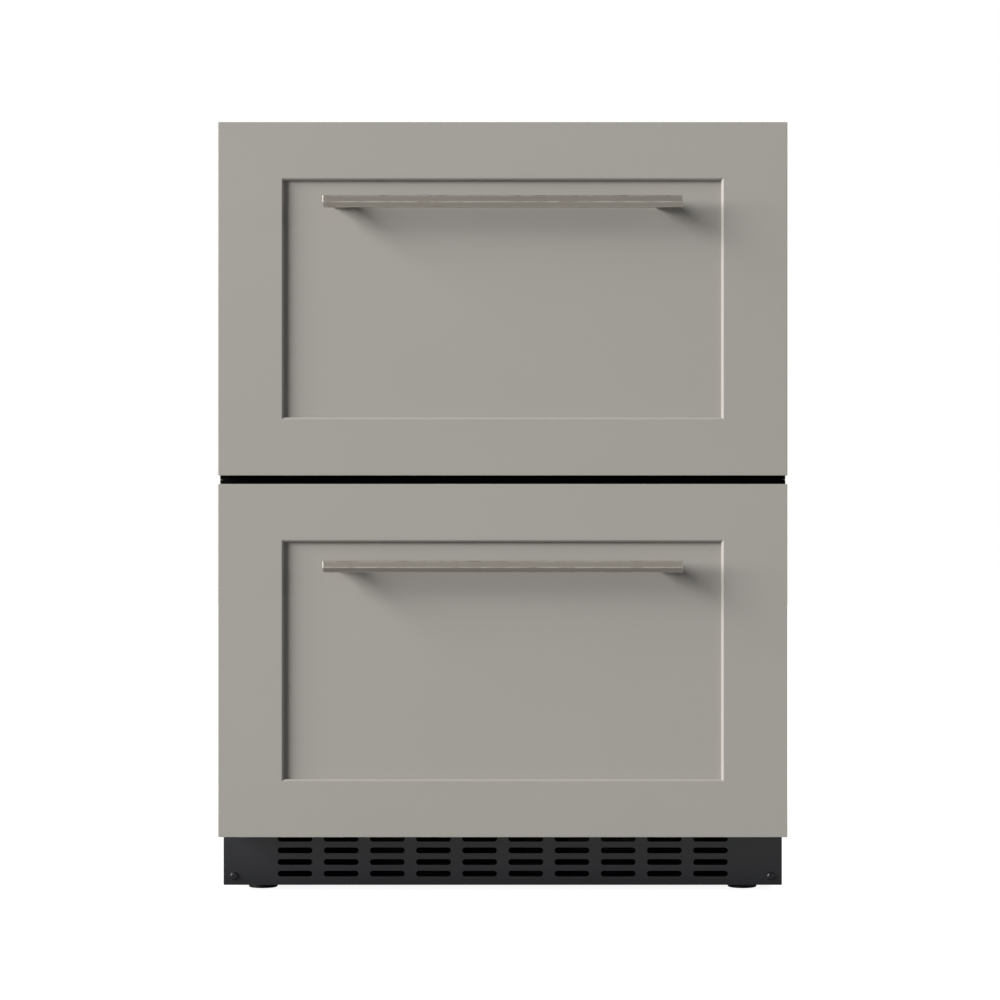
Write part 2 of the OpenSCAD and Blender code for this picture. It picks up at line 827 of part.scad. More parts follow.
// The toe-kick: a shallow tray with rows of slots and a boss behind each screw
module toe_kick_grille() {
    top = front_bottom - 2;
    y0 = cabinet_y - grille_d;
    first_row = grille_z + 12;
    mid_z = (grille_z + top) / 2;
    h = top - grille_z;
    color(black_steel) difference() {
        union() {
            translate([0, 0, mid_z]) difference() {
                along_y(y0, cabinet_y) rounded_rect(cabinet_w, h, 1);
                along_y(y0 + grille_t, cabinet_y + eps)
                    square([cabinet_w - 2 * grille_t, h - 2 * grille_t], center = true);
            }
            toe_screw_places() translate([0, 0, -grille_d]) cylinder(h = grille_d - 0.5, d = 10);
        }
        for (column = [0 : slot_columns - 1], row = [0 : slot_rows - 1]) {
            translate([(column - (slot_columns - 1) / 2) * slot_pitch, 0, first_row + row * row_pitch])
                along_y(y0 - eps, y0 + grille_t + eps) stadium(slot_l, slot_h);
        }
        toe_screw_places() translate([0, 0, -grille_d - eps])
            cylinder(h = grille_d + 2 * eps, d = screw_hole_d);
    }
}

// ---- worktop brackets ----

bracket_t = 2;
bracket_w = 44;
bracket_reach = 36;
bracket_hole_y = cabinet_y - bracket_reach / 2 + 1;

module worktop_brackets() {
    y1 = bracket_screw_y + 12;
    y0 = cabinet_y - bracket_reach;
    color(zinc) difference() {
        both_sides() translate([bracket_span / 2, (y0 + y1) / 2, cabinet_top]) linear_extrude(bracket_t)
            rounded_rect(bracket_w, y1 - y0, 6);
        both_sides() for (s = [-1, 1]) {
            translate([bracket_span / 2, bracket_hole_y + s * bracket_hole_gap / 2, cabinet_top - eps])
                cylinder(h = bracket_t + 2 * eps, d = bracket_hole_d);
        }
        bracket_screw_places() translate([0, 0, -bracket_t - eps])
            cylinder(h = bracket_t + 2 * eps, d = screw_hole_d);
    }
}

// ---- machine space ----

deck_z = base_z + pan_t;
machine_mid_y = (machine_y + rear_y) / 2;
compressor_side_gap = 92.5;   // cabinet's right side to the compressor's shell
compressor_x = cabinet_w / 2 - compressor_side_gap - compressor_d / 2;
grommet_h = 9;
foot_gap = compressor_d - 30;
foot_hole_d = 9;

module compressor_feet() {
    for (x = [-1, 1], y = [-1, 1]) {
        translate([compressor_x + x * foot_gap / 2, machine_mid_y + y * foot_gap / 2, 0]) children();
    }
}

// A welded steel shell on a footed plate, with its tube stubs and terminal cover
module compressor() {
    r = compressor_d / 2;
    z0 = deck_z + grommet_h - 3;
    dome = 40;
    color("#1b1c1e") difference() {
        union() {
            translate([compressor_x, machine_mid_y, z0]) {
                translate([0, 0, 1]) rotate_extrude() intersection() {
                    union() {
                        square([r, compressor_h - dome]);
                        translate([0, compressor_h - dome]) square([r - dome, dome]);
                        translate([r - dome, compressor_h - dome]) circle(dome);
                    }
                    square([r, compressor_h]);
                }
                linear_extrude(3) rounded_rect(foot_gap + 24, foot_gap + 24, 12);
                translate([0, 0, compressor_h * 0.62]) cylinder(h = 4, r = r + 3);
                translate([r - 8, -22, 50]) cube([20, 44, 52]);
            }
            compressor_stub_places() translate([0, 0, -20]) cylinder(h = 20, d = line_d + 3);
        }
        compressor_feet() translate([0, 0, z0 - eps]) cylinder(h = 4, d = foot_hole_d);
        compressor_stub_places() translate([0, 0, -14]) cylinder(h = 20, d = line_d + 2 * fit);
    }
}

module compressor_grommets() {
    squeeze = seat / 3;
    neck_r = foot_hole_d / 2 - squeeze;
    color("#303033") compressor_feet() translate([0, 0, deck_z]) rotate_extrude() polygon([
        [2.5, 0], [8, 0], [8, grommet_h - 3 - squeeze], [neck_r, grommet_h - 3 - squeeze],
        [neck_r, grommet_h + squeeze], [7, grommet_h + squeeze], [7, grommet_h + 3], [2.5, grommet_h + 3]
    ]);
}

line_d = 6;
line_bend = 14;
line_drop = 40;             // machine space's roof to the bends of the discharge line
stub_x = 22;                // compressor's middle to each of its tube stubs
stub_top_z = deck_z + grommet_h + compressor_h + 12;

// The places of the compressor's two tube stubs, on its dome
module compressor_stub_places() {
    for (s = [-1, 1]) {
        translate([compressor_x + s * stub_x, machine_mid_y, stub_top_z]) children();
    }
}

// A quarter bend of tube in the XZ plane, from straight up to pointing along -X
module bend() {
    translate([-line_bend, 0, 0]) rotate([90, 0, 0]) rotate_extrude(angle = 90)
        translate([line_bend, 0]) circle(d = line_d);
}

// The discharge line to the condenser and the suction line up to the evaporator
module refrigerant_lines() {
    x0 = compressor_x - stub_x;
    top = machine_top_z - line_drop;
    run = x0 - condenser_x - line_bend;
    color(copper) {
        translate([x0, machine_mid_y, stub_top_z - 12]) cylinder(h = top - stub_top_z + 12, d = line_d);
        translate([x0, machine_mid_y, top]) bend();
        translate([x0 - line_bend, machine_mid_y, top + line_bend]) rotate([0, -90, 0])
            cylinder(h = run - line_bend, d = line_d);
        translate([x0 - run, machine_mid_y, top + line_bend]) rotate([0, 0, 180]) translate([line_bend, 0, 0])
            translate([0, 0, -line_bend]) bend();
        translate([condenser_x, machine_mid_y, condenser_top + seat])
            cylinder(h = top - condenser_top - seat, d = line_d);
        translate([compressor_x + stub_x, machine_mid_y, stub_top_z - 12])
            cylinder(h = machine_top_z - seat - stub_top_z + 12, d = line_d);
    }
}

condenser_w = 46;
condenser_l = 120;
condenser_h = 168;
condenser_side_gap = 59.5;    // cabinet's left side to the condenser's fins
condenser_x = -cabinet_w / 2 + condenser_side_gap + condenser_w / 2;
condenser_top = deck_z + condenser_h;
fins = 22;
fin_t = 1;

coil_d = 8;                 // tube of the condenser and of the evaporator
coil_fn = 12;
coil_end = 6;               // how far their straight tubes reach past the fins

// Half a ring of tube towards +Y, which joins the ends of two tubes that lie gap apart along X
module return_bend(gap) {
    rotate_extrude(angle = 180, $fn = 24) translate([gap / 2, 0]) circle(d = coil_d, $fn = coil_fn);
}

// Fins on one tube that runs to and fro through them, between two end plates that stand on the base
module condenser() {
    y0 = machine_mid_y - condenser_l / 2;
    tube_x = condenser_w / 4;
    tube_z = [for (i = [1 : 4]) deck_z + i * condenser_h / 5];
    color("#2a2b2d") {
        for (i = [0 : fins - 1]) {
            y = y0 + i * (condenser_l - fin_t) / (fins - 1);
            edge = (i == 0 || i == fins - 1) ? 0 : 8;
            block([condenser_x - condenser_w / 2, y, deck_z + edge],
                  [condenser_x + condenser_w / 2, y + fin_t, condenser_top - edge]);
        }
        for (i = [0 : 3]) {
            for (x = [-tube_x, tube_x]) {
                translate([condenser_x + x, y0 - coil_end, tube_z[i]]) rotate([-90, 0, 0])
                    cylinder(h = condenser_l + 2 * coil_end, d = coil_d, $fn = coil_fn);
            }
            translate([condenser_x, y0 + condenser_l + coil_end, tube_z[i]]) return_bend(2 * tube_x);
        }
        for (i = [0 : 2]) {
            side = i == 1 ? -1 : 1;
            translate([condenser_x + side * tube_x, y0 - coil_end, (tube_z[i] + tube_z[i + 1]) / 2])
                rotate([180, -90, 0]) return_bend(tube_z[i + 1] - tube_z[i]);
        }
        translate([condenser_x, machine_mid_y, condenser_top - 12]) cylinder(h = 12, d = 10);
        block([condenser_x - 6, y0, condenser_top - 9],
              [condenser_x + 6, y0 + condenser_l, condenser_top - 8]);
    }
}

fan_frame_x = condenser_x + condenser_w / 2 + 7;
fan_frame_t = 26;
fan_lift = 86;
fan_z = deck_z + fan_lift;
hub_h = 18;

// A square duct ring on the base, with the fan's motor held on three arms
module condenser_fan_frame() {
    side = condenser_fan_d + 22;
    x1 = fan_frame_x + fan_frame_t;
    color("#222326") {
        difference() {
            block([fan_frame_x, machine_mid_y - side / 2, deck_z],
                  [x1, machine_mid_y + side / 2, fan_z + side / 2]);
            translate([fan_frame_x - eps, machine_mid_y, fan_z]) rotate([0, 90, 0])
                cylinder(h = fan_frame_t + 2 * eps, d = condenser_fan_d + 6);
        }
        translate([x1 + motor_gap, machine_mid_y, fan_z]) rotate([0, 90, 0])
            fan_motor(condenser_fan_d / 2 + 8, motor_gap, x1 + motor_gap - rotor_x - hub_floor - 0.5);
    }
}

// A motor that stands on z = 0 with three arms which reach out and down, and its shaft downwards
module fan_motor(arm_r, drop, shaft_l) {
    cylinder(h = 24, d = 42);
    translate([0, 0, -shaft_l]) cylinder(h = shaft_l + 1, d = shaft_d);
    for (i = [0 : 2]) {
        rotate(i * 120) {
            translate([15, -4, 0]) cube([arm_r - 15, 8, 3]);
            translate([arm_r - 4, -4, -drop]) cube([4, 8, drop + 3]);
        }
    }
}

shaft_d = 5;
hub_floor = 2;              // closed end of a rotor's hub
motor_gap = 6;
rotor_x = fan_frame_x + 4;

// A hub with cambered blades, round z, from z = 0 up, with a bore for the motor's shaft
module fan_rotor(d) {
    chord = 26;
    blade_t = 2;
    camber_r = 30;
    pitch = 58;             // lean of a blade from upright
    difference() {
        union() {
            cylinder(h = hub_h, d = 36);
            intersection() {
                translate([0, 0, 0.5]) cylinder(h = hub_h - 1, d = d);
                for (i = [0 : blades - 1]) {
                    rotate(i * 360 / blades) translate([12, 0, hub_h / 2]) rotate([pitch, 0, 0])
                        rotate([90, 0, 90]) linear_extrude(d / 2) translate([camber_r, 0])
                            intersection() {
                                difference() {
                                    circle(camber_r + blade_t / 2);
                                    circle(camber_r - blade_t / 2);
                                }
                                translate([-camber_r - blade_t, -chord / 2]) square([camber_r, chord]);
                            }
                }
            }
        }
        translate([0, 0, hub_floor]) cylinder(h = hub_h, d = shaft_d + 2 * fit);
    }
}

module condenser_fan_rotor() {
    color("#303236") translate([rotor_x, machine_mid_y, fan_z]) rotate([0, 90, 0])
        fan_rotor(condenser_fan_d);
}

module drain_pan() {
    x0 = fan_frame_x + 80;
    x1 = compressor_x - compressor_d / 2 - 30;
    l = machine_d - 50;
    h = 26;
    t = 2;
    r = 12;
    color("#3a3b3e") translate([(x0 + x1) / 2, machine_mid_y, deck_z]) difference() {
        linear_extrude(h) rounded_rect(x1 - x0, l, r);
        translate([0, 0, t]) linear_extrude(h) rounded_rect(x1 - x0 - 2 * t, l - 2 * t, r - t);
    }
}

louvre_l = 64;
louvre_h = 6;
louvre_pitch = 20;
louvre_rows = 9;
louvre_x = [condenser_x + 15, condenser_x + 95, compressor_x - 10];

// The louvred cover over the machine space
module rear_cover() {
    low = base_z + 4;
    high = machine_top_z + 2;
    color("#9aa0a3") difference() {
        translate([0, 0, (low + high) / 2]) along_y(rear_y, rear_y + sheet_t)
            rounded_rect(cabinet_w - 4, high - low, 4);
        for (x = louvre_x, row = [0 : louvre_rows - 1]) {
            translate([x, 0, low + 40 + row * louvre_pitch]) along_y(rear_y - eps, rear_y + sheet_t + eps)
                stadium(louvre_l, louvre_h);
        }
        translate([inlet_x, 0, inlet_z]) along_y(rear_y - eps, rear_y + sheet_t + eps)
            square([inlet_w + 2 * seat, inlet_h + 2 * seat], center = true);
        rear_screw_places() translate([0, 0, -sheet_t - eps])
            cylinder(h = sheet_t + 2 * eps, d = screw_hole_d);
    }
}

inlet_x = cabinet_w / 2 - 62.5;
inlet_z = 90;
inlet_w = 28;
inlet_h = 20;

// The appliance inlet in the rear cover: a flange, a recess and three blades
module cord_inlet() {
    depth = 22;
    flange = 2;
    color("#151618") {
        difference() {
            union() {
                translate([inlet_x, 0, inlet_z]) along_y(rear_y - depth, rear_y + sheet_t + eps)
                    square([inlet_w, inlet_h], center = true);
                translate([inlet_x, 0, inlet_z]) along_y(rear_y + sheet_t, rear_y + sheet_t + flange)
                    rounded_rect(inlet_w + 8, inlet_h + 8, 3);
            }
            translate([inlet_x, 0, inlet_z]) along_y(rear_y - depth + 3, rear_y + 10)
                rounded_rect(inlet_w - 4, inlet_h - 4, 3);
        }
        for (x = [-7, 0, 7]) {
            translate([inlet_x + x, 0, inlet_z + (x == 0 ? 3 : -2)]) along_y(rear_y - depth + 2, rear_y - 4)
                square([2, 4], center = true);
        }
    }
}

// ---- cold side ----

evaporator_w = duct_w - 60;
evaporator_fan_z = ceiling_z - 76;

// Fins on one tube that runs to and fro through them, against the liner's back wall
module evaporator() {
    count = 16;
    z0 = mullion_top + 24;
    h = 104;
    y0 = duct_y + 12;
    y1 = liner_back_y - seat;
    tube_y = [y0 + 0.3 * (y1 - y0), y0 + 0.7 * (y1 - y0)];
    tube_z = [z0 + 0.2 * h, z0 + 0.5 * h, z0 + 0.8 * h];
    end_x = evaporator_w / 2 + coil_end;
    color("#c3c7c9") {
        for (i = [0 : count - 1]) {
            x = -evaporator_w / 2 + i * (evaporator_w - fin_t) / (count - 1);
            block([x, y0, z0], [x + fin_t, y1, z0 + h]);
        }
        for (i = [0 : 2]) {
            for (y = tube_y) {
                translate([-end_x, y, tube_z[i]]) rotate([0, 90, 0])
                    cylinder(h = 2 * end_x, d = coil_d, $fn = coil_fn);
            }
            translate([end_x, (tube_y[0] + tube_y[1]) / 2, tube_z[i]]) rotate(-90)
                return_bend(tube_y[1] - tube_y[0]);
        }
        for (i = [0, 1]) {
            translate([-end_x, tube_y[1 - i], (tube_z[i] + tube_z[i + 1]) / 2]) rotate([90, -90, 0])
                return_bend(tube_z[i + 1] - tube_z[i]);
        }
    }
}

// The duct over the evaporator: return slots below, the fan's round grille above
module evaporator_cover() {
    low = mullion_top + 12;
    high = ceiling_z - 6;
    w = duct_w;
    guard_w = 3;
    mouth_d = evaporator_fan_d + 6;
    color(white_plastic) difference() {
        union() {
            difference() {
                translate([0, 0, (low + high) / 2]) along_y(duct_y, liner_back_y)
                    rounded_rect(w, high - low, 10);
                translate([0, 0, (low + high) / 2]) along_y(duct_y + duct_t, liner_back_y + eps)
                    rounded_rect(w - 2 * duct_t, high - low - 2 * duct_t, 8);
            }
        }
        for (x = [-3 : 3], z = [0 : 3]) {
            translate([x * 50, 0, low + 24 + z * 14]) along_y(duct_y - eps, duct_y + duct_t + eps)
                stadium(38, 5);
        }
        // the round grille: rings of air between two crossing bars
        translate([0, duct_y - eps, evaporator_fan_z]) rotate([-90, 0, 0]) linear_extrude(duct_t + 2 * eps)
            difference() {
                circle(d = mouth_d);
                for (d = [mouth_d * 0.75, mouth_d * 0.5, mouth_d * 0.25]) {
                    difference() {
                        circle(d = d);
                        circle(d = d - 2 * guard_w);
                    }
                }
                square([mouth_d, guard_w], center = true);
                square([guard_w, mouth_d], center = true);
            }
    }
}

module evaporator_fan_motor() {
    reach = 28;
    color("#3a3b3e") translate([0, duct_y + duct_t + reach, evaporator_fan_z]) rotate([-90, 0, 0])
        fan_motor(evaporator_fan_d / 2 + 10, reach, reach - rotor_lift - hub_floor - 0.5);
}

rotor_lift = 5;             // gap between the duct's cover and the rotor

module evaporator_fan_rotor() {
    color("#55585c") translate([0, duct_y + duct_t + rotor_lift, evaporator_fan_z]) rotate([-90, 0, 0])
        fan_rotor(evaporator_fan_d);
}

// ---- controls and light ----

panel_y = cabinet_y + 6;
panel_h = 26;
panel_w = 190;
button_w = 14;
button_h = 9;
button_fit = 0.25;
button_proud = 1.6;
button_d = 5;
button_z = ceiling_z - panel_h / 2;
button_x = [-70, -46, -22];
window_w = 74;
window_h = 14;
window_t = 1.5;
window_x = 42;

// A wedge under the liner's ceiling: an upright face with pockets for the buttons and the window
module control_housing() {
    low = ceiling_z - panel_h;
    color("#d9dbdc") difference() {
        along_x(panel_w) polygon([
            [panel_y, ceiling_z], [panel_y, low + 2], [panel_y + 2, low], [panel_y + 26, low],
            [panel_y + 70, ceiling_z - 8], [panel_y + 70, ceiling_z]
        ]);
        for (x = button_x) {
            translate([x, 0, button_z])
                along_y(panel_y - eps, panel_y + button_d - button_proud + button_travel + 0.5)
                    rounded_rect(button_w + 2 * button_fit, button_h + 2 * button_fit, 2);
        }
        translate([window_x, 0, button_z]) along_y(panel_y - eps, panel_y + window_t)
            rounded_rect(window_w + 2 * seat, window_h + 2 * seat, 2);
    }
}

module display_window() {
    color("#0c0d10") translate([window_x, 0, button_z]) along_y(panel_y, panel_y + window_t)
        rounded_rect(window_w, window_h, 2);
}

// A push button with round corners
module button(index) {
    color("#f2f2f2") translate([button_x[index], 0, button_z])
        along_y(panel_y - button_proud, panel_y - button_proud + button_d)
            rounded_rect(button_w, button_h, 1.75);
}

lens_w = 220;
lens_l = 18;
lens_t = 6;

module light_lens() {
    color("#f6f8fa") translate([0, panel_y + 92, ceiling_z - lens_t]) linear_extrude(lens_t)
        rounded_rect(lens_w, lens_l, 5);
}

outer_wrapper();
rear_panel();
foam_insulation();
inner_liner();
stepped_floor();
mullion();
base_pan();
toe_kick_grille();
cabinet_screws();
worktop_brackets();
compressor();
compressor_grommets();
condenser();
condenser_fan_frame();
condenser_fan_rotor();
drain_pan();
refrigerant_lines();
evaporator();
evaporator_cover();
evaporator_fan_motor();
evaporator_fan_rotor();
control_housing();
display_window();
button(0);  // power_button
button(1);  // colder_button
button(2);  // warmer_button
light_lens();
rear_cover();
cord_inlet();
outer_rails();
leg(-1, cabinet_y + leg_end);  // leg_front_left
leg(1, cabinet_y + leg_end);  // leg_front_right
leg(-1, rear_y - leg_end);  // leg_rear_left
leg(1, rear_y - leg_end);  // leg_rear_right
front_frame(1);  // upper_front_frame
front_field(1);  // upper_front_field
handle_bar(1);  // upper_handle_bar
handle_posts(1);  // upper_handle_posts
handle_screws(1);  // upper_handle_screws
door_shell(1);  // upper_door_shell
door_liner(1);  // upper_door_liner
gasket(1);  // upper_gasket
bin(1);  // upper_bin
inner_rails(1);  // upper_inner_rails
mid_rails(1);  // upper_mid_rails
outer_cages(1);  // upper_outer_cages
inner_cages(1);  // upper_inner_cages
front_frame(0);  // lower_front_frame
front_field(0);  // lower_front_field
handle_bar(0);  // lower_handle_bar
handle_posts(0);  // lower_handle_posts
handle_screws(0);  // lower_handle_screws
door_shell(0);  // lower_door_shell
door_liner(0);  // lower_door_liner
gasket(0);  // lower_gasket
bin(0);  // lower_bin
inner_rails(0);  // lower_inner_rails
mid_rails(0);  // lower_mid_rails
outer_cages(0);  // lower_outer_cages
inner_cages(0);  // lower_inner_cages
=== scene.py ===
"""Looks of the undercounter drawer refrigerator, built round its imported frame.

Metres, +Z up, +X to the right of someone facing the drawers, which open towards -Y. The origin is
the middle of the footprint, on the floor.
"""
import json
import math

import bmesh
import bpy
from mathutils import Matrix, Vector


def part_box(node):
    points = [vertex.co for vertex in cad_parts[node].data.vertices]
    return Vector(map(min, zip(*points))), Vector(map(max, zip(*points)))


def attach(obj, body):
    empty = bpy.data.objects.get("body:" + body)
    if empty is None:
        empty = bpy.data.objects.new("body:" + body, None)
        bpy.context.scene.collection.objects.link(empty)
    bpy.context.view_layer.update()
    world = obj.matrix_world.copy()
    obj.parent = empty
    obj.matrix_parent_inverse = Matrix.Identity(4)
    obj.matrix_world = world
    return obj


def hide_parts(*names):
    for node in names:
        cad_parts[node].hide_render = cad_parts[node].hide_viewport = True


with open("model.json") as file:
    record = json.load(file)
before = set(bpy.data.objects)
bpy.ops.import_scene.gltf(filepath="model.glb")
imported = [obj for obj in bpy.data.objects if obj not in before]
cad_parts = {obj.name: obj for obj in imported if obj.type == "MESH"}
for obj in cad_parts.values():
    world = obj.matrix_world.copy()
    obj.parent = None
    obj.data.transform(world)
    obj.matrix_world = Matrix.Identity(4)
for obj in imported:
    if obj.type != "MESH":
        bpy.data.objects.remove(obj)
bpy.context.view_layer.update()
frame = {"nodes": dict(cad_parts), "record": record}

MM = 0.001
LEVELS = ("upper", "lower")
BODY_OF = {node: body for body, nodes in frame["record"]["behaviour"]["bodies"].items() for node in nodes}
SLOT_OF = {row["node"]: row["material_slot"] for row in frame["record"]["subparts"]}
scene = bpy.context.scene


# ---- camera, light and studio ----

FRONT_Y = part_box("upper_front_frame")[0].y
VIEW_DISTANCE = 3.3         # camera to the drawer fronts
VIEW_X = -0.0029
VIEW_HEIGHT = 0.4167
VIEW_LENS = 113.3
SENSOR = 36.0
WHITE = (1.0, 1.0, 1.0, 1.0)
WARM = (1.0, 0.985, 0.965)
COOL = (0.97, 0.985, 1.0)
# each soft light's name, the X of its wall, its reach along Y from the fronts and along Z, watts, colour
WINDOWS = (
    ("left_window", -12.0, (-12.5, -1.0), (0.8, 10.0), 6080, WARM),
    ("right_fill", 12.0, (-6.0, -0.5), (0.5, 5.5), 190, COOL),
    ("rear_fill", 9.0, (3.0, 12.0), (6.0, 13.0), 1900, COOL),
)
SKY_FILL = 0.20             # light from all round that the camera does not see
FLOOR_RADIUS = 9.0
FLOOR_SIDES = 64
FLOOR_DROP = 0.2 * MM       # keeps the floor clear of the feet's flat undersides
FLOOR_TONE = 0.16           # what the floor throws back on the part
FLOOR_SHADOW = 0.14         # added where the camera looks, so that it sees a faint shadow
FLOOR_WHITE = 0.93          # the floor's own brightness as the camera sees it
FLOOR_MIRRORED = 0.86       # and as glossy faces see it, out in front of the part
MIRROR_CONTACT_SHADE = (-0.42, 0.02)  # from the fronts, where that brightness starts to fade and where it ends: a painted contact shade near the part


def link(thing):
    scene.collection.objects.link(thing)
    return thing


def make_camera():
    camera = link(bpy.data.objects.new("photo_view", bpy.data.cameras.new("photo_view")))
    camera.location = (VIEW_X, FRONT_Y - VIEW_DISTANCE, VIEW_HEIGHT)
    camera.rotation_euler = (math.radians(90), 0, 0)
    camera.data.sensor_width = SENSOR
    camera.data.lens = VIEW_LENS
    scene.camera = camera


def window_light(name, wall_x, y_range, z_range, power, colour):
    """A soft light that fills an upright opening in a side wall and faces the part along X."""
    data = bpy.data.lights.new(name, "AREA")
    data.shape = "RECTANGLE"
    data.size = y_range[1] - y_range[0]
    data.size_y = z_range[1] - z_range[0]
    data.energy = power
    data.color = colour
    lamp = link(bpy.data.objects.new(name, data))
    lamp.location = (wall_x, FRONT_Y + sum(y_range) / 2, sum(z_range) / 2)
    lamp.rotation_euler = (math.radians(90), 0, math.radians(90 if wall_x > 0 else -90))


def make_lights():
    """Three soft windows, and a world that is white to the camera and dim to everything else."""
    for window in WINDOWS:
        window_light(*window)
    world = bpy.data.worlds.new("studio")
    scene.world = world
    world.use_nodes = True
    tree = world.node_tree
    tree.nodes.clear()
    seen = add(tree, "ShaderNodeLightPath").outputs["Is Camera Ray"]
    fill = add(tree, "ShaderNodeBackground", {"Color": (0.95, 0.975, 1.0, 1.0), "Strength": SKY_FILL})
    white = add(tree, "ShaderNodeBackground", {"Color": WHITE, "Strength": 1.0})
    mixed = add(tree, "ShaderNodeMixShader", {0: seen, 1: fill.outputs[0], 2: white.outputs[0]})
    add(tree, "ShaderNodeOutputWorld", {"Surface": mixed.outputs[0]})
    scene.view_settings.view_transform = "Standard"
    scene.view_settings.look = "None"


def make_floor():
    """A pale floor: it takes a faint shadow, and fades into the white behind it.
    As glossy faces see it, its glow fades out near the fronts, a painted contact shade.
    """
    mesh = bpy.data.meshes.new("floor")
    ring = [(FLOOR_RADIUS * math.cos(a), FLOOR_RADIUS * math.sin(a), -FLOOR_DROP)
            for a in (i * math.tau / FLOOR_SIDES for i in range(FLOOR_SIDES))]
    mesh.from_pydata(ring, [], [list(range(FLOOR_SIDES))])
    floor = link(bpy.data.objects.new("floor", mesh))
    material = bpy.data.materials.new("pale_floor")
    material.use_nodes = True
    tree = material.node_tree
    tree.nodes.clear()
    path = add(tree, "ShaderNodeLightPath").outputs
    seen = path["Is Camera Ray"]
    tone = maths(tree, "MULTIPLY_ADD", seen, FLOOR_SHADOW, FLOOR_TONE)
    paint = add(tree, "ShaderNodeBsdfDiffuse", {"Color": tone})
    place = add(tree, "ShaderNodeTexCoord").outputs["Object"]
    ahead = add(tree, "ShaderNodeSeparateXYZ", {0: place}).outputs["Y"]
    # painted contact shade: the glow that glossy faces see fades out towards the fronts
    fade = add(tree, "ShaderNodeMapRange",
               {"Value": ahead, "From Min": FRONT_Y + MIRROR_CONTACT_SHADE[0], "From Max": FRONT_Y + MIRROR_CONTACT_SHADE[1],
                "To Min": FLOOR_MIRRORED, "To Max": 0.0})
    mirrored = maths(tree, "MULTIPLY", fade.outputs[0], path["Is Glossy Ray"])
    strength = maths(tree, "ADD", maths(tree, "MULTIPLY", seen, FLOOR_WHITE), mirrored)
    glow = add(tree, "ShaderNodeEmission", {"Color": WHITE, "Strength": strength})
    both = add(tree, "ShaderNodeAddShader", {0: paint.outputs[0], 1: glow.outputs[0]})
    add(tree, "ShaderNodeOutputMaterial", {"Surface": both.outputs[0]})
    mesh.materials.append(material)


# ---- node trees ----

def new_tree(title, kind, inputs, outputs):
    """A node group with inputs {name: (socket, value)} and outputs {name: socket}."""
    tree = bpy.data.node_groups.new(title, kind)
    for name, (socket, value) in inputs.items():
        item = tree.interface.new_socket(name, in_out="INPUT", socket_type="NodeSocket" + socket)
        if value is not None:
            item.default_value = value
    for name, socket in outputs.items():
        tree.interface.new_socket(name, in_out="OUTPUT", socket_type="NodeSocket" + socket)
    return tree


def add(tree, kind, sockets=None, **settings):
    """Adds a node. Each socket takes a value or another node's output."""
    node = tree.nodes.new(kind)
    for name, value in settings.items():
        setattr(node, name, value)
    for name, value in (sockets or {}).items():
        if isinstance(value, bpy.types.NodeSocket):
            tree.links.new(value, node.inputs[name])
        else:
            node.inputs[name].default_value = value
    return node


def maths(tree, operation, a, b=0.0, c=0.0, clamp=False):
    """The output of a Math node. Only MULTIPLY_ADD reads c."""
    return add(tree, "ShaderNodeMath", {0: a, 1: b, 2: c}, operation=operation, use_clamp=clamp).outputs[0]


def noise(tree, place, scale, detail, roughness):
    """Soft cloudy values round one half."""
    return add(tree, "ShaderNodeTexNoise",
               {"Vector": place, "Scale": scale, "Detail": detail, "Roughness": roughness}).outputs["Fac"]


def colour_mottle():
    """A colour that drifts lighter and darker in soft patches."""
    tree = new_tree("colour_mottle", "ShaderNodeTree",
                    {"Colour": ("Color", WHITE), "Patches per metre": ("Float", 6.0),
                     "Amount": ("Float", 0.05)},
                    {"Colour": "Color"})
    given = add(tree, "NodeGroupInput").outputs
    place = add(tree, "ShaderNodeTexCoord").outputs["Object"]
    wide = noise(tree, place, given["Patches per metre"], 3.0, 0.6)
    swing = maths(tree, "MULTIPLY", maths(tree, "SUBTRACT", wide, 0.5), given["Amount"])
    level = maths(tree, "MULTIPLY_ADD", swing, 2.0, 1.0)
    scaled = add(tree, "ShaderNodeVectorMath", {0: given["Colour"], "Scale": level}, operation="SCALE")
    add(tree, "NodeGroupOutput", {"Colour": scaled.outputs[0]})
    return tree


def fine_grain():
    """The small unevenness of a moulded, sprayed or rolled surface, as a value round one half."""
    tree = new_tree("fine_grain", "ShaderNodeTree",
                    {"Grains per metre": ("Vector", (600.0, 600.0, 600.0)), "Detail": ("Float", 3.0)},
                    {"Value": "Float"})
    given = add(tree, "NodeGroupInput").outputs
    place = add(tree, "ShaderNodeTexCoord").outputs["Object"]
    stretched = add(tree, "ShaderNodeVectorMath", {0: place, 1: given["Grains per metre"]},
                    operation="MULTIPLY")
    value = noise(tree, stretched.outputs[0], 1.0, given["Detail"], 0.55)
    add(tree, "NodeGroupOutput", {"Value": value})
    return tree


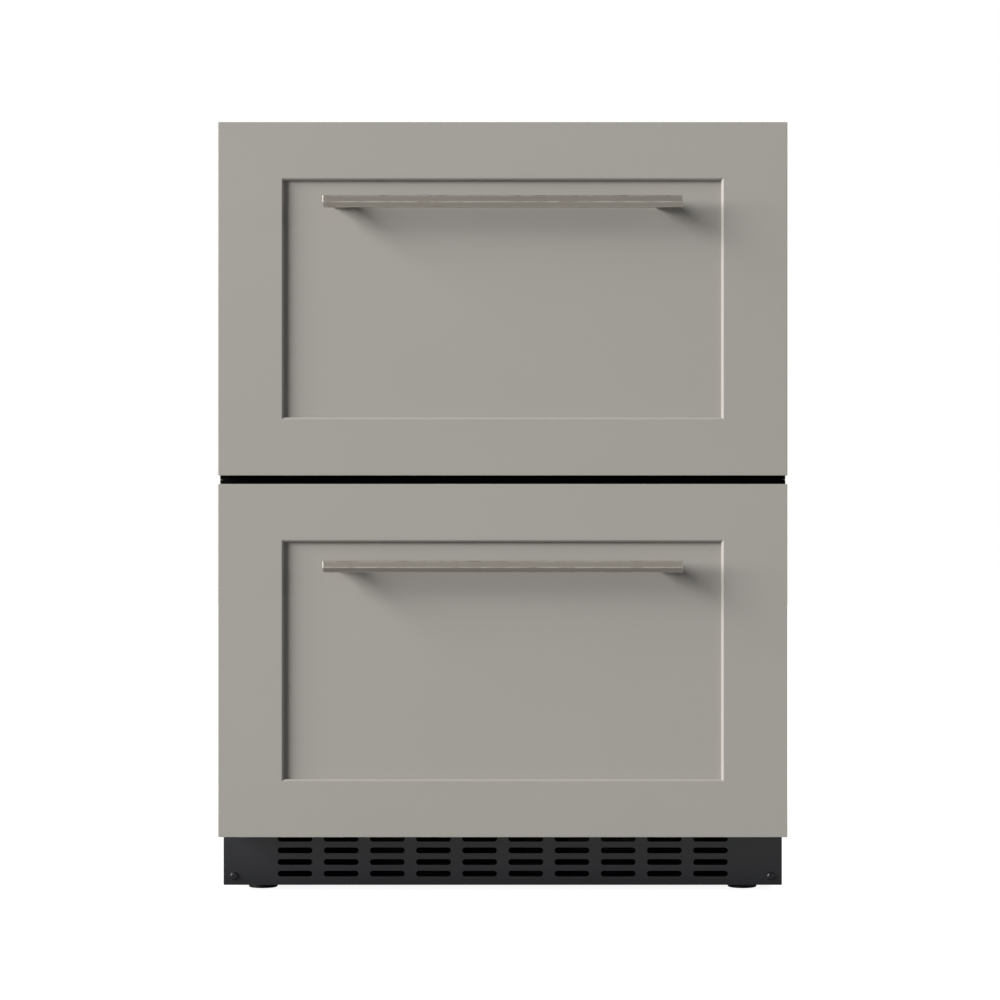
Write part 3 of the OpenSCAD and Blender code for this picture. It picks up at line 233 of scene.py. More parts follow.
def edge_wear_and_highlight():
    """A mask of the outer edges, broken up as handling wears them.
    Where a finish gives them a light colour, the mask also paints a highlight along them.
    """
    tree = new_tree("edge_wear_and_highlight", "ShaderNodeTree",
                    {"Width": ("Float", 0.001), "Amount": ("Float", 0.5),
                     "Breaks per metre": ("Float", 60.0)},
                    {"Mask": "Float"})
    given = add(tree, "NodeGroupInput").outputs
    rounded = add(tree, "ShaderNodeBevel", {"Radius": given["Width"]}, samples=4).outputs[0]
    facing = add(tree, "ShaderNodeNewGeometry").outputs["Normal"]
    alike = add(tree, "ShaderNodeVectorMath", {0: rounded, 1: facing}, operation="DOT_PRODUCT")
    bend = maths(tree, "SUBTRACT", 1.0, alike.outputs["Value"])
    edge = maths(tree, "MULTIPLY", bend, 9.0, clamp=True)
    place = add(tree, "ShaderNodeTexCoord").outputs["Object"]
    patches = noise(tree, place, given["Breaks per metre"], 4.0, 0.6)
    broken = add(tree, "ShaderNodeMapRange", {"Value": patches, "From Min": 0.35, "From Max": 0.62})
    edge_marks = maths(tree, "MULTIPLY", edge, broken.outputs[0])
    mask = maths(tree, "MULTIPLY", edge_marks, given["Amount"], clamp=True)
    add(tree, "NodeGroupOutput", {"Mask": mask})
    return tree


def settled_dust():
    """A mask of faces that look up, where a thin dust settles unevenly."""
    tree = new_tree("settled_dust", "ShaderNodeTree", {"Amount": ("Float", 0.3)}, {"Mask": "Float"})
    given = add(tree, "NodeGroupInput").outputs
    facing = add(tree, "ShaderNodeNewGeometry").outputs["Normal"]
    upward = add(tree, "ShaderNodeSeparateXYZ", {0: facing}).outputs["Z"]
    flat = add(tree, "ShaderNodeMapRange", {"Value": upward, "From Min": 0.6, "From Max": 1.0})
    place = add(tree, "ShaderNodeTexCoord").outputs["Object"]
    patches = noise(tree, place, 14.0, 5.0, 0.62)
    lying = maths(tree, "MULTIPLY", flat.outputs[0], patches)
    mask = maths(tree, "MULTIPLY", lying, given["Amount"], clamp=True)
    add(tree, "NodeGroupOutput", {"Mask": mask})
    return tree


# ---- finishes ----

GROUPS = {}                 # the shared shader groups that have been built
DUST = (0.45, 0.43, 0.40, 1.0)


def shared(tree, maker, sockets):
    """Puts a shared shader group into a material's tree."""
    if maker.__name__ not in GROUPS:
        GROUPS[maker.__name__] = maker()
    node = tree.nodes.new("ShaderNodeGroup")
    node.node_tree = GROUPS[maker.__name__]
    for name, value in sockets.items():
        node.inputs[name].default_value = value
    return node.outputs


def blend_colours(tree, amount, first, second):
    """The first colour where amount is 0, the second where it is 1."""
    node = add(tree, "ShaderNodeMix", {0: amount, 6: first, 7: second}, data_type="RGBA")
    return node.outputs[2]


def finish(title, colour, roughness, patches, grain, grain_depth, spread, wear_and_highlight, wear_and_highlight_colour=None,
           dust=0.0, **fixed):
    """A surface finish: mottled colour, uneven roughness, fine relief, lighter edges that are wear
    and on some finishes a painted highlight, and settled dust.

    patches is the mottle's patches per metre and amount. grain is the relief's grains per metre, as
    one number or one for each axis, and grain_depth its height in millimetres. spread is the swing
    of the roughness, wear_and_highlight the width in metres and the amount of the lighter edges,
    which are wear and on some finishes a painted highlight, and fixed holds the shader's own sockets.
    """
    if isinstance(grain, int):
        grain = (grain, grain, grain)
    material = bpy.data.materials.new(title)
    material.use_nodes = True
    tree = material.node_tree
    tree.nodes.clear()
    mottle = {"Colour": (*colour, 1.0), "Patches per metre": patches[0], "Amount": patches[1]}
    paint = shared(tree, colour_mottle, mottle)["Colour"]
    relief = shared(tree, fine_grain, {"Grains per metre": grain, "Detail": 3.0})["Value"]
    edge_marks = shared(tree, edge_wear_and_highlight, {"Width": wear_and_highlight[0], "Amount": wear_and_highlight[1]})["Mask"]
    # the edges' lighter colour: worn paint or metal, and on some finishes a painted highlight
    lighter = wear_and_highlight_colour or tuple(min(1.0, c * 1.35 + 0.02) for c in colour)
    paint = blend_colours(tree, edge_marks, paint, (*lighter, 1.0))
    uneven = maths(tree, "SUBTRACT", relief, 0.5)
    rough = maths(tree, "MULTIPLY_ADD", uneven, spread, roughness, clamp=True)
    if dust:
        dusty = shared(tree, settled_dust, {"Amount": dust})["Mask"]
        paint = blend_colours(tree, dusty, paint, DUST)
        rough = maths(tree, "ADD", rough, maths(tree, "MULTIPLY", dusty, 0.4), clamp=True)
    bump = add(tree, "ShaderNodeBump",
               {"Height": relief, "Distance": grain_depth * MM, "Strength": 1.0})
    shader = add(tree, "ShaderNodeBsdfPrincipled",
                 {"Base Color": paint, "Roughness": rough, "Normal": bump.outputs[0]})
    for name, value in fixed.items():
        shader.inputs[name.replace("_", " ")].default_value = value
    add(tree, "ShaderNodeOutputMaterial", {"Surface": shader.outputs[0]})
    return material


def make_finishes():
    """A finish for each of the record's material slots, and one for the doors' steel pans, whose
    near black also paints the shade in the gap between the drawers.
    """
    made = {}
    # the lacquer's slightly lighter edges are a faint painted highlight along them
    made["front_paint"] = finish(
        "greige_lacquer", (0.318, 0.303, 0.283), 0.46, patches=(2.6, 0.035), grain=950,
        grain_depth=0.006, spread=0.10, wear_and_highlight=(0.0007, 0.12), Coat_Weight=0.02, Coat_Roughness=0.45,
        Specular_IOR_Level=0.15)
    # the bar's wide, strong, light edge colour paints a highlight along its edges, not wear
    made["handle_metal"] = finish(
        "satin_warm_nickel", (0.30, 0.272, 0.241), 0.42, patches=(9.0, 0.05), grain=(18, 2400, 2400),
        grain_depth=0.004, spread=0.16, wear_and_highlight=(0.0020, 2.4), wear_and_highlight_colour=(0.62, 0.585, 0.535), Metallic=0.8)
    made["black_steel"] = finish(
        "black_powder_coat", (0.009, 0.0095, 0.012), 0.34, patches=(8.0, 0.12), grain=2200,
        grain_depth=0.012, spread=0.14, wear_and_highlight=(0.0008, 0.3), wear_and_highlight_colour=(0.06, 0.06, 0.065), dust=0.05,
        Coat_Weight=0.15, Coat_Roughness=0.3)
    # near black and dull: the pans' edges in the gap between the drawers paint the shade there
    made["door_pan_gap_shade"] = finish(
        "door_pan_gap_shade_black", (0.0016, 0.0016, 0.0018), 0.75, patches=(8.0, 0.12), grain=2200,
        grain_depth=0.012, spread=0.14, wear_and_highlight=(0.0005, 0.1), wear_and_highlight_colour=(0.005, 0.005, 0.0055),
        Specular_IOR_Level=0.04)
    made["galvanised_steel"] = finish(
        "coated_grey_sheet", (0.34, 0.36, 0.375), 0.44, patches=(28.0, 0.16), grain=260,
        grain_depth=0.004, spread=0.22, wear_and_highlight=(0.0006, 0.4), wear_and_highlight_colour=(0.62, 0.64, 0.66), Metallic=0.8)
    made["white_liner"] = finish(
        "white_moulded_liner", (0.50, 0.51, 0.518), 0.36, patches=(3.0, 0.02), grain=700,
        grain_depth=0.006, spread=0.08, wear_and_highlight=(0.0008, 0.1), wear_and_highlight_colour=(0.58, 0.58, 0.58),
        Coat_Weight=0.12, Coat_Roughness=0.15)
    made["foam"] = finish(
        "rigid_foam", (0.80, 0.72, 0.47), 0.92, patches=(30.0, 0.10), grain=420,
        grain_depth=0.25, spread=0.06, wear_and_highlight=(0.002, 0.2))
    made["bin_plastic"] = finish(
        "white_bin_plastic", (0.44, 0.452, 0.462), 0.36, patches=(4.0, 0.02), grain=900,
        grain_depth=0.005, spread=0.08, wear_and_highlight=(0.0008, 0.1), wear_and_highlight_colour=(0.52, 0.52, 0.52),
        Coat_Weight=0.12, Coat_Roughness=0.2)
    made["slide_steel"] = finish(
        "bright_zinc_plate", (0.50, 0.52, 0.54), 0.38, patches=(22.0, 0.10), grain=(900, 20, 900),
        grain_depth=0.003, spread=0.2, wear_and_highlight=(0.0005, 0.35), wear_and_highlight_colour=(0.78, 0.79, 0.8), Metallic=1.0)
    made["cage_steel"] = finish(
        "plain_steel_strip", (0.40, 0.41, 0.43), 0.38, patches=(30.0, 0.12), grain=(900, 30, 900),
        grain_depth=0.003, spread=0.18, wear_and_highlight=(0.0004, 0.4), wear_and_highlight_colour=(0.6, 0.61, 0.62), Metallic=1.0)
    made["gasket_rubber"] = finish(
        "dark_grey_gasket", (0.045, 0.046, 0.050), 0.62, patches=(18.0, 0.15), grain=1500,
        grain_depth=0.015, spread=0.12, wear_and_highlight=(0.0008, 0.2), dust=0.06, Sheen_Weight=0.15)
    made["black_plastic"] = finish(
        "black_moulded_plastic", (0.020, 0.020, 0.022), 0.48, patches=(12.0, 0.12), grain=2600,
        grain_depth=0.02, spread=0.12, wear_and_highlight=(0.0006, 0.25), wear_and_highlight_colour=(0.07, 0.07, 0.072), dust=0.08)
    made["foot_plastic"] = finish(
        "black_foot_plastic", (0.014, 0.014, 0.015), 0.55, patches=(25.0, 0.15), grain=2600,
        grain_depth=0.02, spread=0.12, wear_and_highlight=(0.0006, 0.35), wear_and_highlight_colour=(0.06, 0.06, 0.06))
    made["screw_steel"] = finish(
        "black_plated_screw", (0.045, 0.045, 0.050), 0.34, patches=(90.0, 0.2), grain=3000,
        grain_depth=0.004, spread=0.2, wear_and_highlight=(0.0004, 0.6), wear_and_highlight_colour=(0.3, 0.3, 0.31), Metallic=0.9)
    made["zinc_screw"] = finish(
        "zinc_plated_screw", (0.56, 0.58, 0.60), 0.30, patches=(90.0, 0.15), grain=3000,
        grain_depth=0.004, spread=0.2, wear_and_highlight=(0.0004, 0.4), wear_and_highlight_colour=(0.75, 0.76, 0.77), Metallic=1.0)
    made["compressor_black"] = finish(
        "gloss_black_enamel", (0.010, 0.010, 0.011), 0.18, patches=(10.0, 0.1), grain=420,
        grain_depth=0.03, spread=0.08, wear_and_highlight=(0.001, 0.2), wear_and_highlight_colour=(0.06, 0.06, 0.06), dust=0.25,
        Coat_Weight=0.5, Coat_Roughness=0.1)
    made["grommet_rubber"] = finish(
        "black_grommet_rubber", (0.022, 0.022, 0.023), 0.7, patches=(30.0, 0.15), grain=1800,
        grain_depth=0.02, spread=0.1, wear_and_highlight=(0.0008, 0.2), dust=0.15)
    made["fin_metal"] = finish(
        "rolled_aluminium", (0.62, 0.64, 0.655), 0.34, patches=(40.0, 0.1), grain=(60, 1200, 60),
        grain_depth=0.004, spread=0.16, wear_and_highlight=(0.0004, 0.3), wear_and_highlight_colour=(0.8, 0.8, 0.8), Metallic=1.0)
    made["copper_tube"] = finish(
        "drawn_copper", (0.62, 0.27, 0.14), 0.30, patches=(24.0, 0.22), grain=600,
        grain_depth=0.003, spread=0.2, wear_and_highlight=(0.0004, 0.3), wear_and_highlight_colour=(0.8, 0.45, 0.28), dust=0.1,
        Metallic=1.0)
    made["display_glass"] = finish(
        "smoked_display_glass", (0.005, 0.005, 0.006), 0.08, patches=(12.0, 0.1), grain=300,
        grain_depth=0.001, spread=0.05, wear_and_highlight=(0.0004, 0.2), Coat_Weight=1.0, Coat_Roughness=0.03)
    made["button_plastic"] = finish(
        "light_grey_plastic", (0.50, 0.51, 0.52), 0.40, patches=(14.0, 0.03), grain=1600,
        grain_depth=0.008, spread=0.08, wear_and_highlight=(0.0005, 0.15), wear_and_highlight_colour=(0.66, 0.66, 0.66))
    made["lens_plastic"] = finish(
        "opal_diffuser", (0.74, 0.75, 0.76), 0.42, patches=(20.0, 0.02), grain=1300,
        grain_depth=0.01, spread=0.06, wear_and_highlight=(0.0005, 0.1), Subsurface_Weight=0.15, Subsurface_Scale=0.004)
    return made


FINISH = make_finishes()


# ---- making pieces ----

def stand_for(piece, *nodes, coat=None):
    """The piece rides where its CAD nodes do, takes their finish or its own coat, and replaces them."""
    piece.data.materials.clear()
    piece.data.materials.append(FINISH[coat or SLOT_OF[nodes[0]]])
    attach(piece, BODY_OF[nodes[0]])
    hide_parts(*nodes)


def piece_from(bm, name, sharp=30):
    """A finished bmesh as an object, smooth except along edges sharper than that many degrees."""
    mesh = bpy.data.meshes.new(name)
    bm.to_mesh(mesh)
    bm.free()
    mesh.polygons.foreach_set("use_smooth", [True] * len(mesh.polygons))
    mesh.set_sharp_from_angle(angle=math.radians(sharp))
    return link(bpy.data.objects.new(name, mesh))


def drawn_mesh(thing):
    """A plain mesh of what the object and its modifiers draw."""
    ready = thing.evaluated_get(bpy.context.evaluated_depsgraph_get())
    return bpy.data.meshes.new_from_object(ready)


def settled(piece):
    """Turns what the piece's modifiers make into its own mesh."""
    made = drawn_mesh(piece)
    piece.modifiers.clear()
    piece.data = made
    return piece


def merged(node):
    """A bmesh copy of a CAD node whose loose triangles are joined, and whose flat faces are whole."""
    bm = bmesh.new()
    bm.from_mesh(frame["nodes"][node].data)
    bmesh.ops.remove_doubles(bm, verts=bm.verts, dist=0.002 * MM)
    bmesh.ops.dissolve_limit(bm, angle_limit=math.radians(0.5), verts=bm.verts, edges=bm.edges,
                             delimit={"NORMAL"})
    return bm


def eased(piece, width, segments=2, angle=30):
    """Rounds the piece's sharp edges by a small radius."""
    bevel = piece.modifiers.new("eased edges", "BEVEL")
    bevel.width = width
    bevel.segments = segments
    bevel.limit_method = "ANGLE"
    bevel.angle_limit = math.radians(angle)
    bevel.harden_normals = True
    bevel.use_clamp_overlap = True
    flat = piece.modifiers.new("flat faces", "WEIGHTED_NORMAL")
    flat.keep_sharp = True
    flat.weight = 100
    return piece


def eased_node(node, width, segments=2, angle=30):
    """A CAD node with its sharp edges rounded by that many millimetres."""
    piece = piece_from(merged(node), node + "_eased", angle)
    stand_for(eased(piece, width * MM, segments, angle), node)


def round_rectangle(w, h, r, steps=6):
    """Points round a rectangle with round corners, centred on zero."""
    points = []
    for quarter, (side, level) in enumerate(((1, 1), (-1, 1), (-1, -1), (1, -1))):
        for step in range(steps + 1):
            turn = math.radians(90 * (quarter + step / steps))
            x = side * (w / 2 - r) + r * math.cos(turn)
            y = level * (h / 2 - r) + r * math.sin(turn)
            points.append((x, y))
    return points


def round_outline(corners, steps=4):
    """Points round a closed outline whose corners are (a, b, radius)."""
    points = []
    for index, (a, b, radius) in enumerate(corners):
        here = Vector((a, b))
        back = (Vector(corners[index - 1][:2]) - here).normalized()
        ahead = (Vector(corners[(index + 1) % len(corners)][:2]) - here).normalized()
        half = back.angle(ahead) / 2
        centre = here + (back + ahead).normalized() * radius / math.sin(half)
        first = here + back * radius / math.tan(half) - centre
        last = here + ahead * radius / math.tan(half) - centre
        for step in range(steps + 1):
            points.append(centre + first.lerp(last, step / steps).normalized() * radius)
    return points


def quarter_turn(steps=4):
    """(sine, cosine) pairs through a quarter of a circle."""
    turns = [math.pi / 2 * i / steps for i in range(steps + 1)]
    return [(math.sin(turn), math.cos(turn)) for turn in turns]


def loft(loops, ring=False):
    """A closed skin over loops of as many points each: capped at both ends, or joined into a ring."""
    bm = bmesh.new()
    rows = [[bm.verts.new(point) for point in loop] for loop in loops]
    pairs = list(zip(rows, rows[1:]))
    if ring:
        pairs.append((rows[-1], rows[0]))
    else:
        bm.faces.new(rows[0])
        bm.faces.new(rows[-1])
    for low, high in pairs:
        for i in range(len(low)):
            j = (i + 1) % len(low)
            bm.faces.new((low[i], low[j], high[j], high[i]))
    bmesh.ops.recalc_face_normals(bm, faces=bm.faces)
    return bm


def upright_loft(middle, wide, deep, stations, steps=6):
    """A skin over flat round rectangles at stations (inset, height, corner radius), in millimetres."""
    return loft([[(middle + Vector((x, y, z))) * MM
                  for x, y in round_rectangle(wide - 2 * inset, deep - 2 * inset, r, steps)]
                 for inset, z, r in stations])


def facing_loops(middle, wide, tall, stations):
    """Upright round rectangles, one behind another at stations (inset, depth, corner radius)."""
    return [[(middle + Vector((x, y, z))) * MM
             for x, z in round_rectangle(wide - 2 * inset, tall - 2 * inset, r)]
            for inset, y, r in stations]


BOX_FACES = ((0, 1, 3, 2), (4, 6, 7, 5), (0, 4, 5, 1), (2, 3, 7, 6), (0, 2, 6, 4), (1, 5, 7, 3))


def cut_boxes(piece, boxes):
    """Cuts boxes, each given by two corners in metres, out of the piece."""
    bm = bmesh.new()
    for low, high in boxes:
        corners = [bm.verts.new((x, y, z)) for x in (low[0], high[0]) for y in (low[1], high[1])
                   for z in (low[2], high[2])]
        for face in BOX_FACES:
            bm.faces.new([corners[i] for i in face])
    bmesh.ops.recalc_face_normals(bm, faces=bm.faces)
    cutter = piece_from(bm, "cutter")
    cut = piece.modifiers.new("cut", "BOOLEAN")
    cut.object = cutter
    cut.operation = "DIFFERENCE"
    cut.solver = "EXACT"
    settled(piece)
    bpy.data.objects.remove(cutter)
    return piece


def swept(name, path, radius):
    """A round tube along a path of points."""
    curve = bpy.data.curves.new(name, "CURVE")
    curve.dimensions = "3D"
    curve.bevel_depth = radius * MM
    curve.bevel_resolution = 3
    curve.use_fill_caps = True
    spline = curve.splines.new("POLY")
    spline.points.add(len(path) - 1)
    for place, point in zip(spline.points, path):
        place.co = (point[0] * MM, point[1] * MM, point[2] * MM, 1)
    drawn = link(bpy.data.objects.new(name + "_path", curve))
    bm = bmesh.new()
    bm.from_mesh(drawn_mesh(drawn))
    bpy.data.objects.remove(drawn)
    bmesh.ops.remove_doubles(bm, verts=bm.verts, dist=0.001 * MM)
    bmesh.ops.recalc_face_normals(bm, faces=bm.faces)
    return piece_from(bm, name, 50)


def square_bends(points, bend):
    """A path with round bends at the right-angled corners between the points."""
    path = [Vector(points[0])]
    for before, here, after in zip(points, points[1:], points[2:]):
        here = Vector(here)
        back = (Vector(before) - here).normalized() * bend
        ahead = (Vector(after) - here).normalized() * bend
        for s, c in quarter_turn(6):
            path.append(here + back + ahead - ahead * c - back * s)
    return path + [Vector(points[-1])]


def hairpins(runs, steps=10):
    """A path along straight runs (start, finish), joined by half circles."""
    path = []
    for index, (start, finish) in enumerate(runs):
        start = Vector(start)
        finish = Vector(finish)
        path += [start, finish]
        if index + 1 < len(runs):
            centre = (finish + Vector(runs[index + 1][0])) / 2
            arm = finish - centre
            travel = (finish - start).normalized() * arm.length
            for step in range(1, steps):
                turn = math.pi * step / steps
                path.append(centre + arm * math.cos(turn) + travel * math.sin(turn))
    return path


def grown(name, tree, places, **inputs):
    """A piece that a geometry tree grows on places in millimetres, with the tree's inputs set by name."""
    mesh = bpy.data.meshes.new(name)
    mesh.from_pydata([Vector(place) * MM for place in places], [], [])
    piece = link(bpy.data.objects.new(name, mesh))
    maker = piece.modifiers.new(name, "NODES")
    maker.node_group = tree
    for item in tree.interface.items_tree:
        if item.in_out == "INPUT" and item.name in inputs:
            maker[item.identifier] = inputs[item.name]
    return settled(piece)


def paint_nodes():
    """Every CAD node that stays in view takes the finish of its slot."""
    for node, thing in frame["nodes"].items():
        for place in thing.material_slots:
            place.material = FINISH[SLOT_OF[node]]


# ---- geometry trees ----

def placed_tree(tree, given, shape):
    """Puts the shape on the given places, makes it real and gives it the given material."""
    placed = add(tree, "GeometryNodeInstanceOnPoints", {"Points": given["Places"], "Instance": shape})
    real = add(tree, "GeometryNodeRealizeInstances", {"Geometry": placed.outputs[0]}).outputs[0]
    dressed = add(tree, "GeometryNodeSetMaterial", {"Geometry": real, "Material": given["Material"]})
    add(tree, "NodeGroupOutput", {"Geometry": dressed.outputs[0]})
    return tree


def plate_stack():
    """Thin plates of one size on the points that it is given."""
    tree = new_tree("plate_stack", "GeometryNodeTree",
                    {"Places": ("Geometry", None), "Size": ("Vector", (0.1, 0.001, 0.1)),
                     "Material": ("Material", None)},
                    {"Geometry": "Geometry"})
    given = add(tree, "NodeGroupInput").outputs
    plate = add(tree, "GeometryNodeMeshCube", {"Size": given["Size"]}).outputs[0]
    return placed_tree(tree, given, plate)


def ball_rows():
    """Smooth balls on the points that it is given."""
    tree = new_tree("ball_rows", "GeometryNodeTree",
                    {"Places": ("Geometry", None), "Radius": ("Float", 0.0025),
                     "Material": ("Material", None)},
                    {"Geometry": "Geometry"})
    given = add(tree, "NodeGroupInput").outputs
    ball = add(tree, "GeometryNodeMeshUVSphere", {"Segments": 20, "Rings": 12, "Radius": given["Radius"]})
    smooth = add(tree, "GeometryNodeSetShadeSmooth", {"Geometry": ball.outputs[0]}).outputs[0]
    return placed_tree(tree, given, smooth)


def louvre_hoods():
    """Pressed hoods, open at their lower edge, on points in the plane of a rear wall."""
    tree = new_tree("louvre_hoods", "GeometryNodeTree",
                    {"Places": ("Geometry", None), "Length": ("Float", 0.07), "Height": ("Float", 0.01),
                     "Rise": ("Float", 0.0015), "Sheet": ("Float", 0.0008), "Material": ("Material", None)},
                    {"Geometry": "Geometry"})
    given = add(tree, "NodeGroupInput").outputs
    sheet = add(tree, "GeometryNodeMeshGrid", {"Size X": given["Length"], "Size Y": given["Height"],
                                              "Vertices X": 25, "Vertices Y": 7}).outputs["Mesh"]
    here = add(tree, "GeometryNodeInputPosition").outputs[0]
    place = add(tree, "ShaderNodeSeparateXYZ", {0: here}).outputs
    along = maths(tree, "DIVIDE", place["X"], maths(tree, "MULTIPLY", given["Length"], 0.5))
    ends = maths(tree, "SUBTRACT", 1.0, maths(tree, "POWER", maths(tree, "ABSOLUTE", along), 8.0))
    up = maths(tree, "ADD", maths(tree, "DIVIDE", place["Y"], given["Height"]), 0.5)
    slope = maths(tree, "COSINE", maths(tree, "MULTIPLY", up, math.pi / 2))
    rise = maths(tree, "MULTIPLY", maths(tree, "MULTIPLY", ends, slope), given["Rise"])
    bent = add(tree, "ShaderNodeCombineXYZ", {"X": place["X"], "Y": rise, "Z": place["Y"]}).outputs[0]
    hood = add(tree, "GeometryNodeSetPosition", {"Geometry": sheet, "Position": bent}).outputs[0]
    inner = add(tree, "GeometryNodeSetShadeSmooth", {"Geometry": hood}).outputs[0]
    outer = add(tree, "GeometryNodeFlipFaces", {"Mesh": inner}).outputs[0]
    skin = add(tree, "GeometryNodeExtrudeMesh",
               {"Mesh": outer, "Offset Scale": given["Sheet"], "Individual": False})
    whole = add(tree, "GeometryNodeJoinGeometry")
    tree.links.new(inner, whole.inputs[0])
    tree.links.new(skin.outputs[0], whole.inputs[0])
    return placed_tree(tree, given, whole.outputs[0])


# ---- drawer fronts and doors ----

# corners of a bar's section: back from its face, up from its middle, radius
BAR_PROFILE = ((0, 6, 0.9), (0, -1, 1.0), (4, -6, 0.7), (10, -6, 0.5), (10, 6, 0.8))
GAP_SHADE_REACH = 2.15          # how much further each door's steel pan reaches into the gap than in the CAD: a dark sheet that paints the shade in the gap
SHELL_EDGE = 2.0            # height of the pan's edge that moves


def make_handles(level):
    """A bar drawn with soft edges, and its eased posts and screws."""
    low, high = (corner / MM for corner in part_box(level + "_handle_bar"))
    middle = (low.z + high.z) / 2
    section = round_outline(BAR_PROFILE, 5)
    loops = [[Vector((x, low.y + point.x, middle + point.y)) * MM for point in section]
             for x in (low.x, high.x)]
    bar = piece_from(loft(loops), level + "_bar", 40)
    stand_for(eased(bar, 0.6 * MM, 3, 60), level + "_handle_bar")
    eased_node(level + "_handle_posts", 0.5, 3)
    eased_node(level + "_handle_screws", 0.15)


def make_shell(level):
    """The door's steel pan, whose dark edge reaches further into the gap between the drawers as painted
    shade there.
    """
    low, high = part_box(level + "_door_shell")
    pan = merged(level + "_door_shell")
    for corner in pan.verts:
        if level == "lower" and corner.co.z > high.z - SHELL_EDGE * MM:
            corner.co.z += GAP_SHADE_REACH * MM
        if level == "upper" and corner.co.z < low.z + SHELL_EDGE * MM:
            corner.co.z -= GAP_SHADE_REACH * MM
    piece = eased(piece_from(pan, level + "_pan"), 0.35 * MM)
    stand_for(piece, level + "_door_shell", coat="door_pan_gap_shade")


DOOR_EDGE = 17              # from a door panel's side to its plateau
DOOR_DISH = 58              # and to the shallow dish in the plateau
PLATEAU = 6                 # how far the plateau stands out from the panel's rim
PLATEAU_ROUND = 3
DISH_DEPTH = 3


def make_door_panel(level):
    """The moulded inner panel: a flat rim for the gasket, a plateau with soft sides and a shallow dish."""
    low, high = (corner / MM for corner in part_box(level + "_door_liner"))
    top = high.y - low.y
    rim = top - PLATEAU
    stations = [(0, 0, 1), (0, rim - 1, 1), (1, rim, 1)]
    stations += [(DOOR_EDGE - 2, rim, 15), (DOOR_EDGE - 0.5, rim + 1, 14)]
    stations += [(DOOR_EDGE + PLATEAU_ROUND * (1 - c), top - PLATEAU_ROUND * (1 - s), 14)
                 for s, c in quarter_turn()]
    stations += [(DOOR_DISH, top, 20), (DOOR_DISH + 1.5, top - 0.4, 20)]
    stations += [(DOOR_DISH + 4, top - DISH_DEPTH + 0.4, 20), (DOOR_DISH + 6, top - DISH_DEPTH, 20)]
    middle = Vector((0, low.y, (low.z + high.z) / 2))
    loops = facing_loops(middle, high.x - low.x, high.z - low.z, stations)
    stand_for(piece_from(loft(loops), level + "_door_panel"), level + "_door_liner")


GASKET_W = 12
GASKET_CORNER = (12, 5)     # radii of the gasket's outer and inner corners
# the gasket's outer side, from the door to the cabinet: inset and depth
GASKET_SIDE = ((0, 0), (0, 2.2), (2.4, 2.8), (1.0, 4.0), (2.4, 5.0), (0.6, 5.6), (0.5, 6.4), (0.9, 8.65))


def make_gasket(level):
    """A magnetic gasket with a folded bellows, run round the door."""
    low, high = (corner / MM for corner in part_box(level + "_gasket"))
    outer, inner = GASKET_CORNER
    stations = [(side, y, outer - side) for side, y in GASKET_SIDE]
    stations += [(GASKET_W - side, y, inner + side) for side, y in reversed(GASKET_SIDE)]
    middle = Vector((0, low.y, (low.z + high.z) / 2))
    loops = facing_loops(middle, high.x - low.x, high.z - low.z, stations)
    stand_for(piece_from(loft(loops, ring=True), level + "_bellows", 60), level + "_gasket")


# ---- bins ----

BIN_WALL = 2.5
BIN_CORNER = 18
BIN_FOOT = 9                # round edge between a bin's walls and its floor
RIM_W = 9                   # how far the rim stands out from the walls
RIM_T = 2.5
RIM_LIP = 5.5               # how far the rim's lip hangs below it
RIM_ROUND = 2.2
ARM_NOTCH = (237.9, 240.6)  # where the slides' arms pass through the lip, from the middle
NOTCH_H = 9
BIN_RIBS = "abcde"
RIB_W = 7
# a rib's inset, height and corner radius, from inside the floor up
RIB_STATIONS = ((0, 2.3, 3.4), (0, 3.1, 3.4), (0.8, 3.7, 2.6))


def make_bin(level):
    """A moulded bin with a round foot, floor ribs and a rolled rim, notched for the slides' arms."""
    low, high = (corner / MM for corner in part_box(level + "_bin"))
    wide = high.x - low.x - 2 * RIM_W
    deep = high.y - low.y - 2 * RIM_W
    tall = high.z - low.z
    middle = Vector((0, (low.y + high.y) / 2, low.z))
    foot = BIN_FOOT
    wall = BIN_WALL
    stations = [(foot * (1 - s), foot * (1 - c)) for s, c in quarter_turn()]
    stations += [(0, tall - RIM_T - 1), (-1, tall - RIM_T), (wall - RIM_W, tall - RIM_T)]
    stations += [(wall - RIM_W, tall - RIM_T - RIM_LIP), (-RIM_W, tall - RIM_T - RIM_LIP)]
    stations += [(RIM_ROUND * (1 - c) - RIM_W, tall - RIM_ROUND * (1 - s)) for s, c in quarter_turn()]
    stations += [(wall - 1, tall), (wall, tall - 1)]
    stations += [(wall + foot * (1 - c), wall + foot * (1 - s)) for s, c in quarter_turn()]
    skin = upright_loft(middle, wide, deep, [(inset, z, BIN_CORNER - inset) for inset, z in stations])
    body = piece_from(skin, level + "_moulded_bin", 40)
    top = high.z - RIM_T
    notches = []
    for side in (-1, 1):
        near, far = sorted(side * x for x in ARM_NOTCH)
        for y0, y1 in ((low.y - 1, low.y + RIM_W), (high.y - RIM_W, high.y + 1)):
            notches.append((Vector((near, y0, top - NOTCH_H)) * MM, Vector((far, y1, top)) * MM))
    stand_for(cut_boxes(body, notches), level + "_bin")
    spacing = wide / (len(BIN_RIBS) + 1)
    for index, letter in enumerate(BIN_RIBS):
        centre = middle + Vector(((index - (len(BIN_RIBS) - 1) / 2) * spacing, 0, 0))
        rib = upright_loft(centre, RIB_W, deep - 4 * BIN_CORNER, RIB_STATIONS)
        stand_for(piece_from(rib, level + "_bin_rib_" + letter), level + "_bin")


# ---- slides ----

